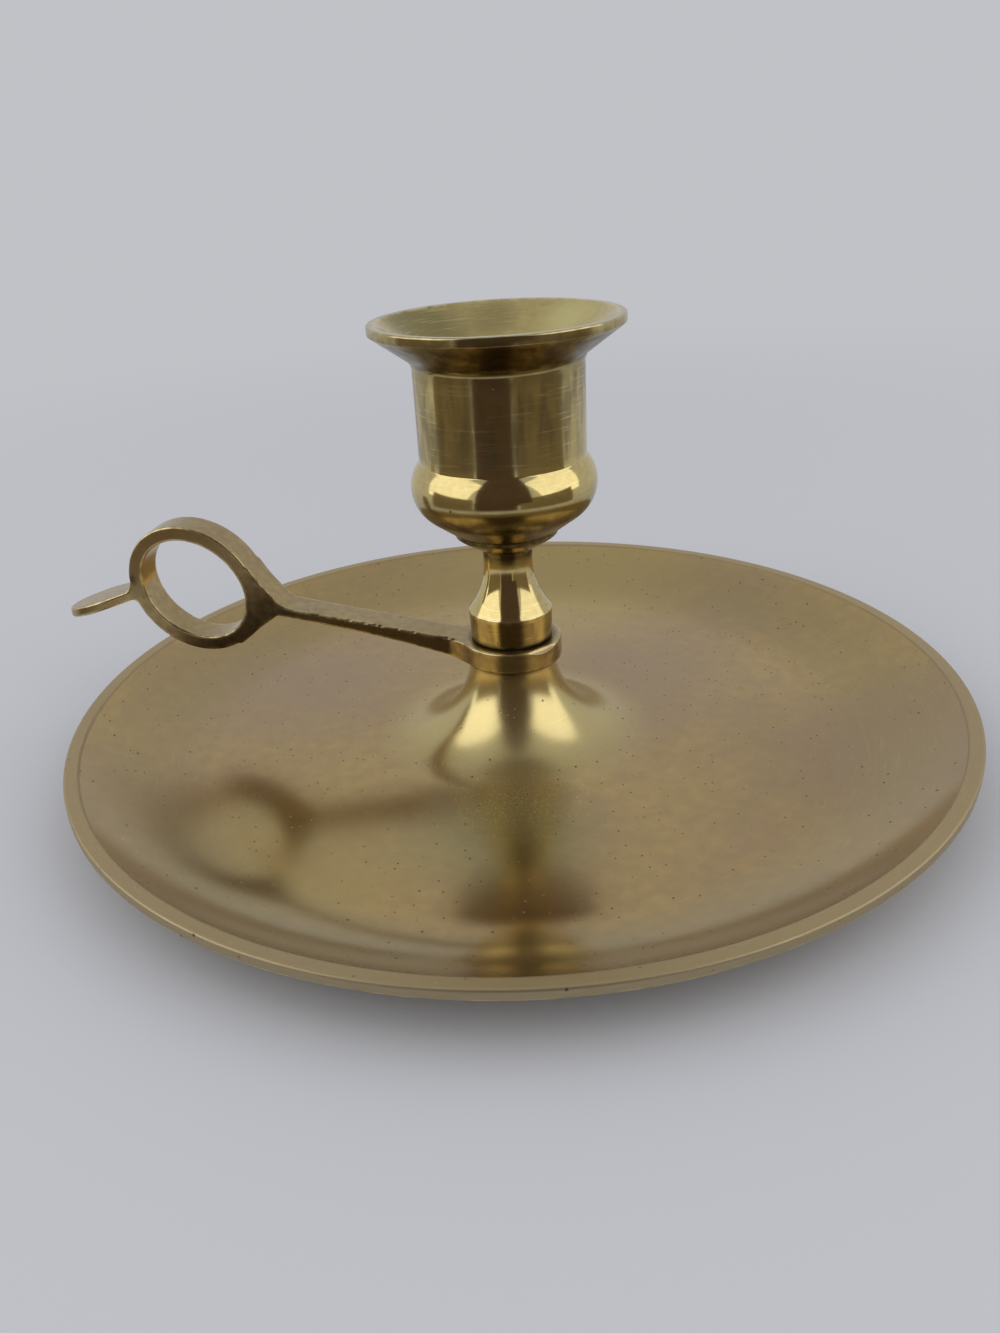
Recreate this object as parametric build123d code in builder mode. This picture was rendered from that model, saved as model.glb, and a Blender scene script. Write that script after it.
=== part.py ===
"""Chamberstick with a finger loop: a dished brass tray with a raised cone, a cast
handle clamped by its eye on top of the cone, a turned knop, and a turned candle cup,
all drawn together by a threaded stud with a washer and a nut in the hollow below.

Millimetres, +Z up. The origin is on the turned axis, in the plane that the tray
stands on, and the handle points along -X.
"""

from build123d import *
import os
from math import atan, cos, degrees, radians, sin, sqrt, tan

os.makedirs("parts", exist_ok=True)

# Tray
tray_radius = 76.2
tray_wall = 1.8
tray_depth = 7.8
rim_width = 2.2
rim_height = 1.7
rim_softening = 0.3
floor_radius = 53.3
cone_foot_radius = 22.5
cone_top_radius = 7.3
cone_rise = 14.3
cone_top_wall = 2.5

# Stud, washer and nut
stud_radius = 2.5
stud_chamfer = 0.4
stud_below_nut = 1.5
stud_grip = 7.5
through_clearance = 0.15
thread_clearance = 0.05
washer_radius = 5.0
washer_thickness = 1.0
nut_across_flats = 8.0
nut_height = 4.0
nut_chamfer_angle = 30.0

# How far a cutting solid runs past what it cuts
overrun = 1.0

# Handle
eye_thickness = 3.6
eye_radius = 8.6
eye_shoulder_radius = 2.5
handle_width = 6.0
arm_aim_drop = 0.35
arm_length = 41.0
arm_tip_thickness = 1.85
arm_bow = 0.6
ring_reach = 55.8
ring_centre_rise = 12.4
ring_long_radius = 12.4
ring_short_radius = 10.9
ring_hole_long_radius = 9.9
ring_hole_short_radius = 8.3
ring_tilt = 41.0
web_top_reach = 39.8
web_top_bearing = 18.5
web_top_radius = 4.0
web_foot_bearing = -53.0
web_foot_radius = 3.0
thumb_length = 14.02
thumb_widest_share = 0.515
thumb_half_width = 4.6
thumb_thickness = 1.8
thumb_droop = 16.3
thumb_top_radius = 1.8
thumb_under_radius = 1.0
thumb_tip_radius = 0.85

# Knop between the handle and the cup
collar_radius = 7.1
collar_foot_radius = 6.95
collar_height = 5.2
collar_foot_chamfer = 0.5
collar_softening = 0.3
bell_height = 6.2
bell_sag = 0.42
neck_radius = 4.25
neck_height = 4.6
neck_sag = 0.15

# Candle cup
cup_height = 36.8
cup_foot_radius = 8.5
cup_foot_height = 2.6
cup_foot_sag = 0.15
cup_body_radius = 13.43
cup_bulge_radius = 15.07
cup_bulge_height = 11.1
cup_bulge_arc_radius = 6.2
cup_bowl_end_angle = 54.0
cup_flare_height = 29.7
cup_flare_arc_radius = 2.2
cup_flare_angle = 54.0
lip_radius = 19.8
lip_top_width = 1.3
lip_softening = 0.25
funnel_angle = 52.0
candle_bore_radius = 11.25
candle_bore_floor = 9.6

# Shared heights on the axis, from the plane that the tray stands on
floor_top = tray_wall
rim_top = floor_top + tray_depth
cone_top = floor_top + cone_rise
cone_underside = cone_top - cone_top_wall
eye_top = cone_top + eye_thickness
neck_top = eye_top + collar_height + bell_height + neck_height
stud_bottom = cone_underside - washer_thickness - nut_height - stud_below_nut
stud_top = neck_top + stud_grip
through_hole_radius = stud_radius + through_clearance
tapped_hole_radius = stud_radius + thread_clearance


def corners_near(outline, *places):
    """The corners of an outline that lie nearest to each of the places."""
    return [outline.vertices().sort_by_distance(Vector(*place))[0] for place in places]


def swing_radius(half_chord, rise):
    """Radius of the arc that leaves a flat floor and climbs `rise` over `half_chord`."""
    return (half_chord * half_chord + rise * rise) / (rise + rise)


# Drip tray: one turned casting, a flat floor, a cove up to a thick rim, and a
# trumpet cone in the middle that is hollow underneath
rim_inner_radius = tray_radius - rim_width
cove_run = rim_inner_radius - floor_radius
cove_radius = swing_radius(cove_run, tray_depth)
cove_sweep = degrees(atan(cove_run / (cove_radius - tray_depth)))
under_cove_radius = cove_radius + tray_wall
rim_underside = rim_top - rim_height
under_cove_rise = cove_radius + floor_top - rim_underside
under_cove_sweep = degrees(atan(sqrt(under_cove_radius**2 - under_cove_rise**2) / under_cove_rise))
cone_run = cone_foot_radius - cone_top_radius
flare_radius = swing_radius(cone_run, cone_rise)
flare_centre_height = floor_top + flare_radius
flare_sweep = 90 - degrees(atan((flare_centre_height - cone_top) / cone_run))
under_flare_radius = flare_radius + tray_wall
under_flare_drop = flare_centre_height - cone_underside
under_flare_sweep = 90 - degrees(atan(under_flare_drop / sqrt(under_flare_radius**2 - under_flare_drop**2)))

with BuildPart() as drip_tray:
    with BuildSketch(Plane.XZ) as tray_section:
        with BuildLine():
            flare = CenterArc(
                (cone_foot_radius, flare_centre_height), flare_radius, 270 - flare_sweep, flare_sweep
            )
            cove = CenterArc((floor_radius, floor_top + cove_radius), cove_radius, 270, cove_sweep)
            Line(flare @ 1, cove @ 0)
            rim = Polyline(
                cove @ 1,
                (tray_radius, rim_top),
                (tray_radius, rim_underside),
            )
            under_cove = CenterArc(
                (floor_radius, floor_top + cove_radius), under_cove_radius, 270, under_cove_sweep
            )
            Line(rim @ 1, under_cove @ 1)
            under_flare = CenterArc(
                (cone_foot_radius, flare_centre_height),
                under_flare_radius,
                270 - under_flare_sweep,
                under_flare_sweep,
            )
            Line(under_cove @ 0, under_flare @ 1)
            Polyline(
                under_flare @ 0,
                (through_hole_radius, cone_underside),
                (through_hole_radius, cone_top),
                flare @ 0,
            )
        make_face()
        fillet(
            corners_near(tray_section, (tray_radius, rim_top), (tray_radius, rim_underside)), rim_softening
        )
    revolve(axis=Axis.Z)
drip_tray.part.label = "drip_tray"
export_step(drip_tray.part, "parts/drip_tray.step")

# Handle, one casting: an eye clamped on the cone, a tapering arm that climbs away
# from it, an oval finger ring, and a leaf-shaped rest for the thumb beyond the ring.
# Its outline from the side and its outline from above are each drawn once, and the
# casting is what the two have in common.
half_width = handle_width / 2
ring_centre = (-ring_reach, cone_top + ring_centre_rise)
ring_turn = 180 - ring_tilt
arm_slope = (ring_centre[1] - arm_aim_drop - eye_top) / (ring_reach - eye_radius)
arm_tip_top = eye_top + arm_slope * (arm_length - eye_radius)
web_foot = (-arm_length, arm_tip_top - arm_tip_thickness)
web_top = (-web_top_reach, eye_top + arm_slope * (web_top_reach - eye_radius))
ring_half_span = sqrt(
    (ring_long_radius * cos(radians(ring_tilt))) ** 2 + (ring_short_radius * sin(radians(ring_tilt))) ** 2
)
thumb_reach = ring_reach + ring_half_span + thumb_length
thumb_widest_reach = ring_reach + ring_half_span + thumb_widest_share * thumb_length
thumb_fall = tan(radians(thumb_droop))
thumb_root = (-ring_reach, ring_centre[1] + ring_short_radius * thumb_fall)
thumb_tip = (-thumb_reach, thumb_root[1] - (thumb_reach - ring_reach) * thumb_fall)
thumb_tip_under = (-thumb_reach, thumb_tip[1] - thumb_thickness)


def on_ring(bearing):
    """Point on the ring's outer oval, at a bearing above level on the arm's side."""
    turn = radians(bearing - ring_turn)
    reach = 1 / sqrt((cos(turn) / ring_long_radius) ** 2 + (sin(turn) / ring_short_radius) ** 2)
    return (
        ring_centre[0] + reach * cos(radians(bearing)),
        ring_centre[1] + reach * sin(radians(bearing)),
    )


ring_outer_top = (-ring_reach - ring_long_radius, ring_centre[1])
ring_outer_under = (-ring_reach - ring_long_radius, ring_centre[1] - thumb_thickness)
shoulder = -sqrt(eye_radius**2 - half_width**2)

with BuildPart() as handle:
    with BuildSketch(Plane.XZ) as side_outline:
        with BuildLine():
            arm_under = SagittaArc(web_foot, (-eye_radius, cone_top), arm_bow)
            Polyline(
                arm_under @ 1,
                (eye_radius, cone_top),
                (eye_radius, eye_top),
                (-eye_radius, eye_top),
                web_top,
                on_ring(web_top_bearing),
                ring_centre,
                on_ring(web_foot_bearing),
                web_foot,
            )
        make_face()
        with BuildLine():
            Polyline(
                thumb_root,
                thumb_tip,
                thumb_tip_under,
                (-ring_reach, thumb_root[1] - thumb_thickness),
                close=True,
            )
        make_face()
        with Locations(ring_centre):
            Ellipse(ring_long_radius, ring_short_radius, rotation=ring_turn)
        fillet(corners_near(side_outline, web_top), web_top_radius)
        fillet(corners_near(side_outline, web_foot), web_foot_radius)
        fillet(corners_near(side_outline, ring_outer_top), thumb_top_radius)
        fillet(corners_near(side_outline, ring_outer_under), thumb_under_radius)
        fillet(corners_near(side_outline, thumb_tip, thumb_tip_under), thumb_tip_radius)
        with Locations(ring_centre):
            Ellipse(ring_hole_long_radius, ring_hole_short_radius, rotation=ring_turn, mode=Mode.SUBTRACT)
    extrude(amount=eye_radius + overrun, both=True)
    with BuildSketch(Plane.XY.offset(cone_top - overrun)) as top_outline:
        with BuildLine():
            strip = Polyline((0, 0), (0, half_width), (-ring_reach - ring_short_radius, half_width))
            Spline(
                strip @ 1,
                (-thumb_widest_reach, thumb_half_width),
                (-thumb_reach, 0),
                tangents=((-1, 0), (0, -1)),
            )
            mirror(about=Plane.XZ)
        make_face()
        Circle(eye_radius)
        fillet(
            corners_near(top_outline, (shoulder, half_width), (shoulder, -half_width)), eye_shoulder_radius
        )
    extrude(amount=ring_centre_rise + ring_long_radius + 2 * overrun, mode=Mode.INTERSECT)
    Hole(through_hole_radius)
handle.part.label = "handle"
export_step(handle.part, "parts/handle.step")

# Knop: a plain collar, a concave bell with a crisp edge, and a short neck
collar_top = eye_top + collar_height
bell_top = collar_top + bell_height

with BuildPart() as stem_knop:
    with BuildSketch(Plane.XZ) as knop_section:
        with BuildLine():
            collar = Polyline(
                (through_hole_radius, eye_top),
                (collar_foot_radius - collar_foot_chamfer, eye_top),
                (collar_foot_radius, eye_top + collar_foot_chamfer),
                (collar_radius, collar_top),
            )
            bell = SagittaArc(collar @ 1, (neck_radius, bell_top), bell_sag)
            neck = SagittaArc(bell @ 1, (neck_radius, neck_top), neck_sag)
            Polyline(neck @ 1, (through_hole_radius, neck_top), collar @ 0)
        make_face()
        fillet(corners_near(knop_section, (collar_radius, collar_top)), collar_softening)
    revolve(axis=Axis.Z)
stem_knop.part.label = "stem_knop"
export_step(stem_knop.part, "parts/stem_knop.step")

# Candle cup: stepped foot, bulged bowl, straight body, flared lip and a plain bore
lip_top = neck_top + cup_height
bulge_centre = (cup_bulge_radius - cup_bulge_arc_radius, neck_top + cup_bulge_height)
bulge_top_angle = degrees(
    atan(
        sqrt(cup_bulge_arc_radius**2 - (cup_body_radius - bulge_centre[0]) ** 2)
        / (cup_body_radius - bulge_centre[0])
    )
)
bowl_end = (
    bulge_centre[0] + cup_bulge_arc_radius * cos(radians(cup_bowl_end_angle)),
    bulge_centre[1] - cup_bulge_arc_radius * sin(radians(cup_bowl_end_angle)),
)
bowl_foot = (
    cup_foot_radius,
    bowl_end[1] - (bowl_end[0] - cup_foot_radius) * tan(radians(90 - cup_bowl_end_angle)),
)
flare_start = neck_top + cup_flare_height
flare_end = (
    cup_body_radius + cup_flare_arc_radius * (1 - cos(radians(cup_flare_angle))),
    flare_start + cup_flare_arc_radius * sin(radians(cup_flare_angle)),
)
lip_underside = flare_end[1] + (lip_radius - flare_end[0]) * tan(radians(90 - cup_flare_angle))
bore_floor = neck_top + candle_bore_floor
funnel_top_radius = lip_radius - lip_top_width
funnel_foot = lip_top - (funnel_top_radius - candle_bore_radius) * tan(radians(90 - funnel_angle))

with BuildPart() as candle_cup:
    with BuildSketch(Plane.XZ) as cup_section:
        with BuildLine():
            foot = SagittaArc(
                (neck_radius, neck_top),
                (cup_foot_radius, neck_top + cup_foot_height),
                -cup_foot_sag,
            )
            Polyline(foot @ 1, bowl_foot, bowl_end)
            bulge = CenterArc(
                bulge_centre,
                cup_bulge_arc_radius,
                -cup_bowl_end_angle,
                cup_bowl_end_angle + bulge_top_angle,
            )
            body = Line(bulge @ 1, (cup_body_radius, flare_start))
            flare_arc = CenterArc(
                (cup_body_radius + cup_flare_arc_radius, flare_start),
                cup_flare_arc_radius,
                180,
                -cup_flare_angle,
            )
            Polyline(
                flare_arc @ 1,
                (lip_radius, lip_underside),
                (lip_radius, lip_top),
                (funnel_top_radius, lip_top),
                (candle_bore_radius, funnel_foot),
                (candle_bore_radius, bore_floor),
                (0, bore_floor),
                (0, stud_top),
                (tapped_hole_radius, stud_top),
                (tapped_hole_radius, neck_top),
                (neck_radius, neck_top),
            )
        make_face()
        fillet(
            corners_near(cup_section, (lip_radius, lip_top), (lip_radius, lip_underside)), lip_softening
        )
    revolve(axis=Axis.Z)
candle_cup.part.label = "candle_cup"
export_step(candle_cup.part, "parts/candle_cup.step")

# Stud through tray, handle and knop into the foot of the cup
with BuildPart() as tie_stud:
    with BuildSketch(Plane.XY.offset(stud_bottom)):
        Circle(stud_radius)
    extrude(amount=stud_top - stud_bottom)
    chamfer(tie_stud.edges().filter_by(GeomType.CIRCLE), stud_chamfer)
tie_stud.part.label = "tie_stud"
export_step(tie_stud.part, "parts/tie_stud.step")

# Washer against the underside of the cone's top
washer_bottom = cone_underside - washer_thickness
with BuildPart() as washer:
    with BuildSketch(Plane.XY.offset(washer_bottom)):
        Circle(washer_radius)
        Circle(through_hole_radius, mode=Mode.SUBTRACT)
    extrude(amount=washer_thickness)
washer.part.label = "washer"
export_step(washer.part, "parts/washer.step")

# Hexagon nut below the washer, its lower corners turned off
nut_bottom = washer_bottom - nut_height
nut_corner_radius = nut_across_flats / 2 / cos(radians(30))
nut_corner_drop = (nut_corner_radius - nut_across_flats / 2) * tan(radians(nut_chamfer_angle))
with BuildPart() as hex_nut:
    with BuildSketch(Plane.XY.offset(nut_bottom)):
        RegularPolygon(nut_across_flats / 2, 6, major_radius=False)
        Circle(tapped_hole_radius, mode=Mode.SUBTRACT)
    extrude(amount=nut_height)
    with BuildSketch(Plane.XZ):
        with BuildLine():
            Polyline(
                (0, nut_bottom),
                (nut_across_flats / 2, nut_bottom),
                (nut_corner_radius, nut_bottom + nut_corner_drop),
                (nut_corner_radius, washer_bottom),
                (0, washer_bottom),
                close=True,
            )
        make_face()
    revolve(axis=Axis.Z, mode=Mode.INTERSECT)
hex_nut.part.label = "hex_nut"
export_step(hex_nut.part, "parts/hex_nut.step")
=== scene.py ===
"""A brass chamberstick with a finger loop, on a plain pale studio floor.

The turned pieces are outlines spun by one Geometry Nodes tree. The cast handle and the
nut are skins drawn over fields of distances. Metres, +Z up, the turned axis at the
origin, and the handle along -X.
"""

import math

import bpy
import numpy as np
from bpy.props import FloatProperty, FloatVectorProperty, IntProperty, PointerProperty
from mathutils import Matrix, Vector


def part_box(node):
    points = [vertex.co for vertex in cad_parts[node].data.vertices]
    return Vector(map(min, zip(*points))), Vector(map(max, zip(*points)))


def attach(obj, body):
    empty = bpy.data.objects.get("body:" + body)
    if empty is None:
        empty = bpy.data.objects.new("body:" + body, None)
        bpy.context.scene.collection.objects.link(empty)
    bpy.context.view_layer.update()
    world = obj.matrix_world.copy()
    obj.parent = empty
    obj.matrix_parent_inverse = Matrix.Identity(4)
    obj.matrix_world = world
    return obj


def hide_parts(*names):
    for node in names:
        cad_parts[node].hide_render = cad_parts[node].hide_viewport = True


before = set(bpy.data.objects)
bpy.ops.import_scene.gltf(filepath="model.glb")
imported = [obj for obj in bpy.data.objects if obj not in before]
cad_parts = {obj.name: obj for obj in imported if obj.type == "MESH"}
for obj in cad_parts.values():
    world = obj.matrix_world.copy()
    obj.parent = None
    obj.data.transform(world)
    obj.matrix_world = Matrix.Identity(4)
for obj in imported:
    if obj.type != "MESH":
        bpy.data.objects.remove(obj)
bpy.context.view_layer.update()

bl_info = {
    "name": "Chamberstick",
    "version": (1, 0, 0),
    "blender": (4, 5, 0),
    "location": "View3D > Sidebar > Chamberstick",
    "description": "Brass chamberstick with a finger loop, on a pale studio floor",
    "category": "Add Mesh",
}

MM = 0.001
SAME_PLACE = 1e-6
BODY = "root"
CAMERA_BEARING = -80.5
TRAY_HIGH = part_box("drip_tray")[1]
HANDLE_LOW, HANDLE_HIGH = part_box("handle")
KNOP_LOW, KNOP_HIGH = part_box("stem_knop")
CUP_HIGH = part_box("candle_cup")[1]
STUD_LOW, STUD_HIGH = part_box("tie_stud")
WASHER_LOW, WASHER_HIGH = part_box("washer")
NUT_LOW, NUT_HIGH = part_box("hex_nut")


def length(name, text, default):
    """A property for a size in metres."""
    return FloatProperty(name=name, description=text, default=default, min=0, unit="LENGTH", precision=5)


def angle(name, text, degrees):
    """A property for an angle, given in degrees and kept in radians."""
    return FloatProperty(name=name, description=text, default=math.radians(degrees), subtype="ANGLE")


def colour(name, text, default):
    """A property for a metal's or a paper's colour."""
    return FloatVectorProperty(
        name=name, description=text, default=default, size=3, min=0, max=1, subtype="COLOR"
    )


def facets(text, default):
    """A property for how many facets run round a turned piece."""
    return IntProperty(name="Steps round", description=text, default=default, min=24)


class TraySizes(bpy.types.PropertyGroup):
    """Sizes of the drip tray."""

    radius: length("Radius", "Outer radius of the rim", TRAY_HIGH.x)
    rim_top: length("Rim top", "Height of the rim", 9.6 * MM)
    rim_width: length("Rim width", "Width of the flat top of the rim", 2.2 * MM)
    rim_height: length("Rim height", "Height of the rim's outer face", 1.7 * MM)
    wall: length("Wall", "Thickness of the floor and the cove", 1.8 * MM)
    floor_radius: length("Floor radius", "Where the flat floor turns up into the cove", 53.3 * MM)
    cone_foot_radius: length("Cone foot", "Where the floor turns up into the cone", 22.5 * MM)
    cone_top_radius: length("Cone top", "Radius of the cone's flat top", 7.3 * MM)
    cone_top_wall: length("Cone top wall", "Thickness of the cone's flat top", 2.5 * MM)
    steps_round: facets("Facets round the tray", 240)
    dents: length("Dents", "Depth of the small dents in worn edges", 0.12 * MM)


class HandleSizes(bpy.types.PropertyGroup):
    """Sizes of the cast handle, seen from the side unless the text says from above."""

    eye_radius: length("Eye radius", "Radius of the round eye, from above", HANDLE_HIGH.x)
    eye_thickness: length("Eye thickness", "Thickness of the eye", 3.6 * MM)
    eye_shoulder: length("Eye shoulder", "Fillet between the eye and the arm, from above", 2.5 * MM)
    width: length("Width", "Width of the arm and the ring, from above", 6 * MM)
    arm_length: length("Arm length", "From the axis to where the arm meets the ring's web", 41 * MM)
    arm_tip: length("Arm tip", "Thickness of the arm at its thin end", 1.85 * MM)
    arm_bow: length("Arm bow", "How far the arm's underside is arched", 0.6 * MM)
    arm_aim: length("Arm aim", "How far below the ring's centre the arm points", 0.35 * MM)
    ring_reach: length("Ring reach", "From the axis to the ring's centre", 55.8 * MM)
    ring_rise: length("Ring rise", "From the eye's underside up to the ring's centre", 12.4 * MM)
    ring_long: length("Ring long radius", "Long outer radius of the oval ring", 12.4 * MM)
    ring_short: length("Ring short radius", "Short outer radius of the oval ring", 10.9 * MM)
    hole_long: length("Hole long radius", "Long radius of the finger hole", 9.9 * MM)
    hole_short: length("Hole short radius", "Short radius of the finger hole", 8.3 * MM)
    ring_tilt: angle("Ring tilt", "Tilt of the ring's long axis", 41)
    web_reach: length("Web reach", "From the axis to where the web leaves the arm's top", 39.8 * MM)
    thumb_root: length("Thumb root", "Where the thumb rest starts to widen, from above", 66.7 * MM)
    thumb_widest: length("Thumb widest", "Where the thumb rest is widest, from above", 74.8 * MM)
    thumb_half_width: length("Thumb half width", "Half of its greatest width", 4.6 * MM)
    thumb_thickness: length("Thumb thickness", "Thickness of the thumb rest", 1.8 * MM)
    thumb_droop: angle("Thumb droop", "How much the thumb rest falls outward", 16.3)
    edge_radius: length("Edge radius", "Rounding of the casting's filed edges", 0.32 * MM)
    cell: length("Cell", "Size of the skin's facets", 0.22 * MM)


class KnopSizes(bpy.types.PropertyGroup):
    """Sizes of the turned knop."""

    collar_radius: length("Collar radius", "Radius of the collar's top edge", 7.1 * MM)
    collar_foot: length("Collar foot", "Radius of the collar's foot", 6.95 * MM)
    collar_height: length("Collar height", "Height of the collar", 5.2 * MM)
    bell_height: length("Bell height", "Height of the concave bell", 6.2 * MM)
    bell_sag: length("Bell sag", "Hollow of the bell's side", 0.42 * MM)
    neck_radius: length("Neck radius", "Radius of the neck", 4.25 * MM)
    neck_sag: length("Neck sag", "Hollow of the neck's side", 0.15 * MM)
    steps_round: facets("Facets round the knop", 160)
    dents: length("Dents", "Depth of the small dents in worn edges", 0.05 * MM)


class CupSizes(bpy.types.PropertyGroup):
    """Sizes of the candle cup, its heights above the knop."""

    foot_radius: length("Foot radius", "Radius of the stepped foot", 8.5 * MM)
    foot_height: length("Foot height", "Height of the stepped foot", 2.6 * MM)
    foot_sag: length("Foot sag", "Swell of the foot's side", 0.15 * MM)
    body_radius: length("Body radius", "Radius of the straight body", 13.43 * MM)
    bulge_radius: length("Bulge radius", "Greatest radius of the bowl", 15.07 * MM)
    bulge_height: length("Bulge height", "Height of the bowl's widest place", 11.1 * MM)
    bulge_arc: length("Bulge arc", "Radius of the bowl's round side", 6.2 * MM)
    bowl_end: angle("Bowl end", "Where the bowl's round side runs into its straight foot", 54)
    flare_height: length("Flare height", "Height where the body turns out to the lip", 29.7 * MM)
    flare_arc: length("Flare arc", "Radius of that turn", 2.2 * MM)
    flare_angle: angle("Flare angle", "Sweep of that turn", 54)
    lip_radius: length("Lip radius", "Radius of the lip", CUP_HIGH.x)
    lip_top_width: length("Lip top width", "Width of the lip's flat top", 1.3 * MM)
    funnel_angle: angle("Funnel angle", "Slope of the mouth, from upright", 52)
    bore_radius: length("Bore radius", "Radius of the candle bore", 11.25 * MM)
    bore_floor: length("Bore floor", "Height of the bore's floor", 9.6 * MM)
    steps_round: facets("Facets round the cup", 200)
    dents: length("Dents", "Depth of the small dents in worn edges", 0.06 * MM)


class FixingSizes(bpy.types.PropertyGroup):
    """Sizes of the stud, the nut and the washer."""

    stud_radius: length("Stud radius", "Outer radius of the stud's thread", STUD_HIGH.x)
    stud_chamfer: length("Stud chamfer", "Chamfer at the stud's ends", 0.4 * MM)
    pitch: length("Thread pitch", "From one turn of the thread to the next", 0.8 * MM)
    thread_depth: length("Thread depth", "Depth of the stud's thread", 0.42 * MM)
    clearance: length("Clearance", "Room round the stud in the plain holes", 0.15 * MM)
    nut_cell: length("Nut cell", "Size of the nut's facets", 0.12 * MM)


class BrassColours(bpy.types.PropertyGroup):
    """Colours of the metals and the floor."""

    bright: colour("Bright brass", "Brass rubbed bright at the edges and in scratches", (0.84, 0.70, 0.36))
    clean: colour("Clean brass", "Polished brass", (0.74, 0.60, 0.24))
    olive: colour("Olive brass", "Lightly tarnished brass", (0.58, 0.46, 0.19))
    mauve: colour("Mauve tarnish", "Pinkish brown tarnish", (0.46, 0.34, 0.19))
    cast_clean: colour("Casting, clean", "Handled brass of the handle's top", (0.54, 0.405, 0.195))
    cast_olive: colour("Casting, olive", "Olive mottling of the handle", (0.37, 0.275, 0.12))
    cast_mauve: colour("Casting, mauve", "Pinkish brown patches of the handle", (0.34, 0.245, 0.13))
    # Painted shade, far darker than the brass, laid on the handle's side faces, which also get rougher
    cast_side: colour("Casting's sides", "Dull brass of the handle's side faces", (0.10, 0.07, 0.033))
    tray_clean: colour("Tray, clean", "Cleanest satin brass of the tray", (0.61, 0.43, 0.185))
    tray_olive: colour("Tray, olive", "Olive mottling of the tray", (0.53, 0.385, 0.155))
    tray_mauve: colour("Tray, mauve", "Pinkish brown patches of the tray", (0.48, 0.34, 0.205))
    pit: colour("Pits", "Dirt in the small pits", (0.10, 0.065, 0.03))
    # Grime in the joints, also laid as painted shade under the cup's lip, flare and bowl
    grime: colour("Grime", "Old polish and dirt in the corners", (0.06, 0.04, 0.02))
    steel: colour("Steel", "Dull steel of the fixings", (0.42, 0.41, 0.39))
    paper: colour("Paper", "Pale paper under the object", (0.53, 0.54, 0.57))


class ChamberstickSettings(bpy.types.PropertyGroup):
    """All settings of the chamberstick."""

    tray: PointerProperty(type=TraySizes)
    handle: PointerProperty(type=HandleSizes)
    knop: PointerProperty(type=KnopSizes)
    cup: PointerProperty(type=CupSizes)
    fixings: PointerProperty(type=FixingSizes)
    colours: PointerProperty(type=BrassColours)


def settings():
    """The scene's chamberstick settings."""
    return bpy.context.scene.chamberstick


# Outlines, as lists of (across, up) places


def arc(centre, radius, start, end, steps=24):
    """Places along a round stretch, from one bearing to another, in radians."""
    bearings = [start + (end - start) * step / steps for step in range(steps + 1)]
    return [(centre[0] + radius * math.cos(b), centre[1] + radius * math.sin(b)) for b in bearings]


def sagging(start, end, sag, steps=16):
    """Places along a shallow arc that bends to the right of the way from start to end by `sag`."""
    (x0, z0), (x1, z1) = start, end
    chord = math.hypot(x1 - x0, z1 - z0)
    across = ((z1 - z0) / chord, -(x1 - x0) / chord)
    places = []
    for step in range(steps + 1):
        share = step / steps
        lift = 4 * sag * share * (1 - share)
        level, up = x0 + (x1 - x0) * share, z0 + (z1 - z0) * share
        places.append((level + across[0] * lift, up + across[1] * lift))
    return places


def straight(start, end, steps=16):
    """Places along a straight stretch, close enough together to carry marks of dirt and wear."""
    return [tuple(Vector(start).lerp(Vector(end), step / steps)) for step in range(steps + 1)]


def swept(start, leaving, end, arriving, steps=30):
    """Places along a smooth curve that leaves one place and arrives at another in given directions."""
    reach = math.dist(start, end)
    places = []
    for step in range(steps + 1):
        t = step / steps
        a, b = 2 * t**3 - 3 * t**2 + 1, 3 * t**2 - 2 * t**3
        c, d = (t**3 - 2 * t**2 + t) * reach, (t**3 - t**2) * reach
        places.append(tuple(a * start[i] + c * leaving[i] + b * end[i] + d * arriving[i] for i in (0, 1)))
    return places


def path(*stretches):
    """Stretches of places joined into one outline, with no place twice in a row."""
    places = []
    for place in (place for stretch in stretches for place in stretch):
        if not places or math.dist(place, places[-1]) > SAME_PLACE:
            places.append(place)
    return places


def walked(places, reach):
    """What is left of a line of places after walking `reach` along it, from where the walk ends."""
    for index in range(len(places) - 1):
        here, there = Vector(places[index]), Vector(places[index + 1])
        step = (there - here).length
        if reach < step:
            return [tuple(here.lerp(there, reach / step))] + places[index + 1:]
        reach -= step
    return places[-1:]


def rounded(outline, corners, steps=6):
    """The outline with some of its corners rounded, each given by a place near it and a radius."""
    for corner, radius in corners:
        at = min(range(len(outline)), key=lambda i: math.dist(outline[i], corner))
        tip = Vector(outline[at])
        before, after = Vector(outline[at - 1]) - tip, Vector(outline[at + 1]) - tip
        reach = radius / math.tan(before.angle(after) / 2)
        leading, following = walked(outline[at::-1], reach), walked(outline[at:], reach)
        start, end = Vector(leading[0]), Vector(following[0])
        bend = []
        for step in range(steps + 1):
            share = step / steps
            bend.append(tuple(start.lerp(tip, share).lerp(tip.lerp(end, share), share)))
        outline = leading[:0:-1] + bend + following[1:]
    return outline


def swing_radius(run, rise):
    """Radius of the arc that leaves a level line and climbs `rise` over `run`."""
    return (run * run + rise * rise) / (2 * rise)


# Node trees


def add(tree, kind, feeds=(), **facts):
    """One new node, with its facts set and its inputs fed by values or by other nodes' outputs."""
    made = tree.nodes.new(kind)
    for name, value in facts.items():
        setattr(made, name, value)
    for socket, value in dict(feeds).items():
        if isinstance(value, bpy.types.NodeSocket):
            tree.links.new(value, made.inputs[socket])
        else:
            made.inputs[socket].default_value = value
    return made


def sums(tree, operation, *values):
    """The result of one Math node."""
    return add(tree, "ShaderNodeMath", enumerate(values), operation=operation).outputs[0]


def vectors(tree, operation, feeds, result="Vector"):
    """The result of one Vector Math node."""
    return add(tree, "ShaderNodeVectorMath", feeds, operation=operation).outputs[result]


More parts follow.
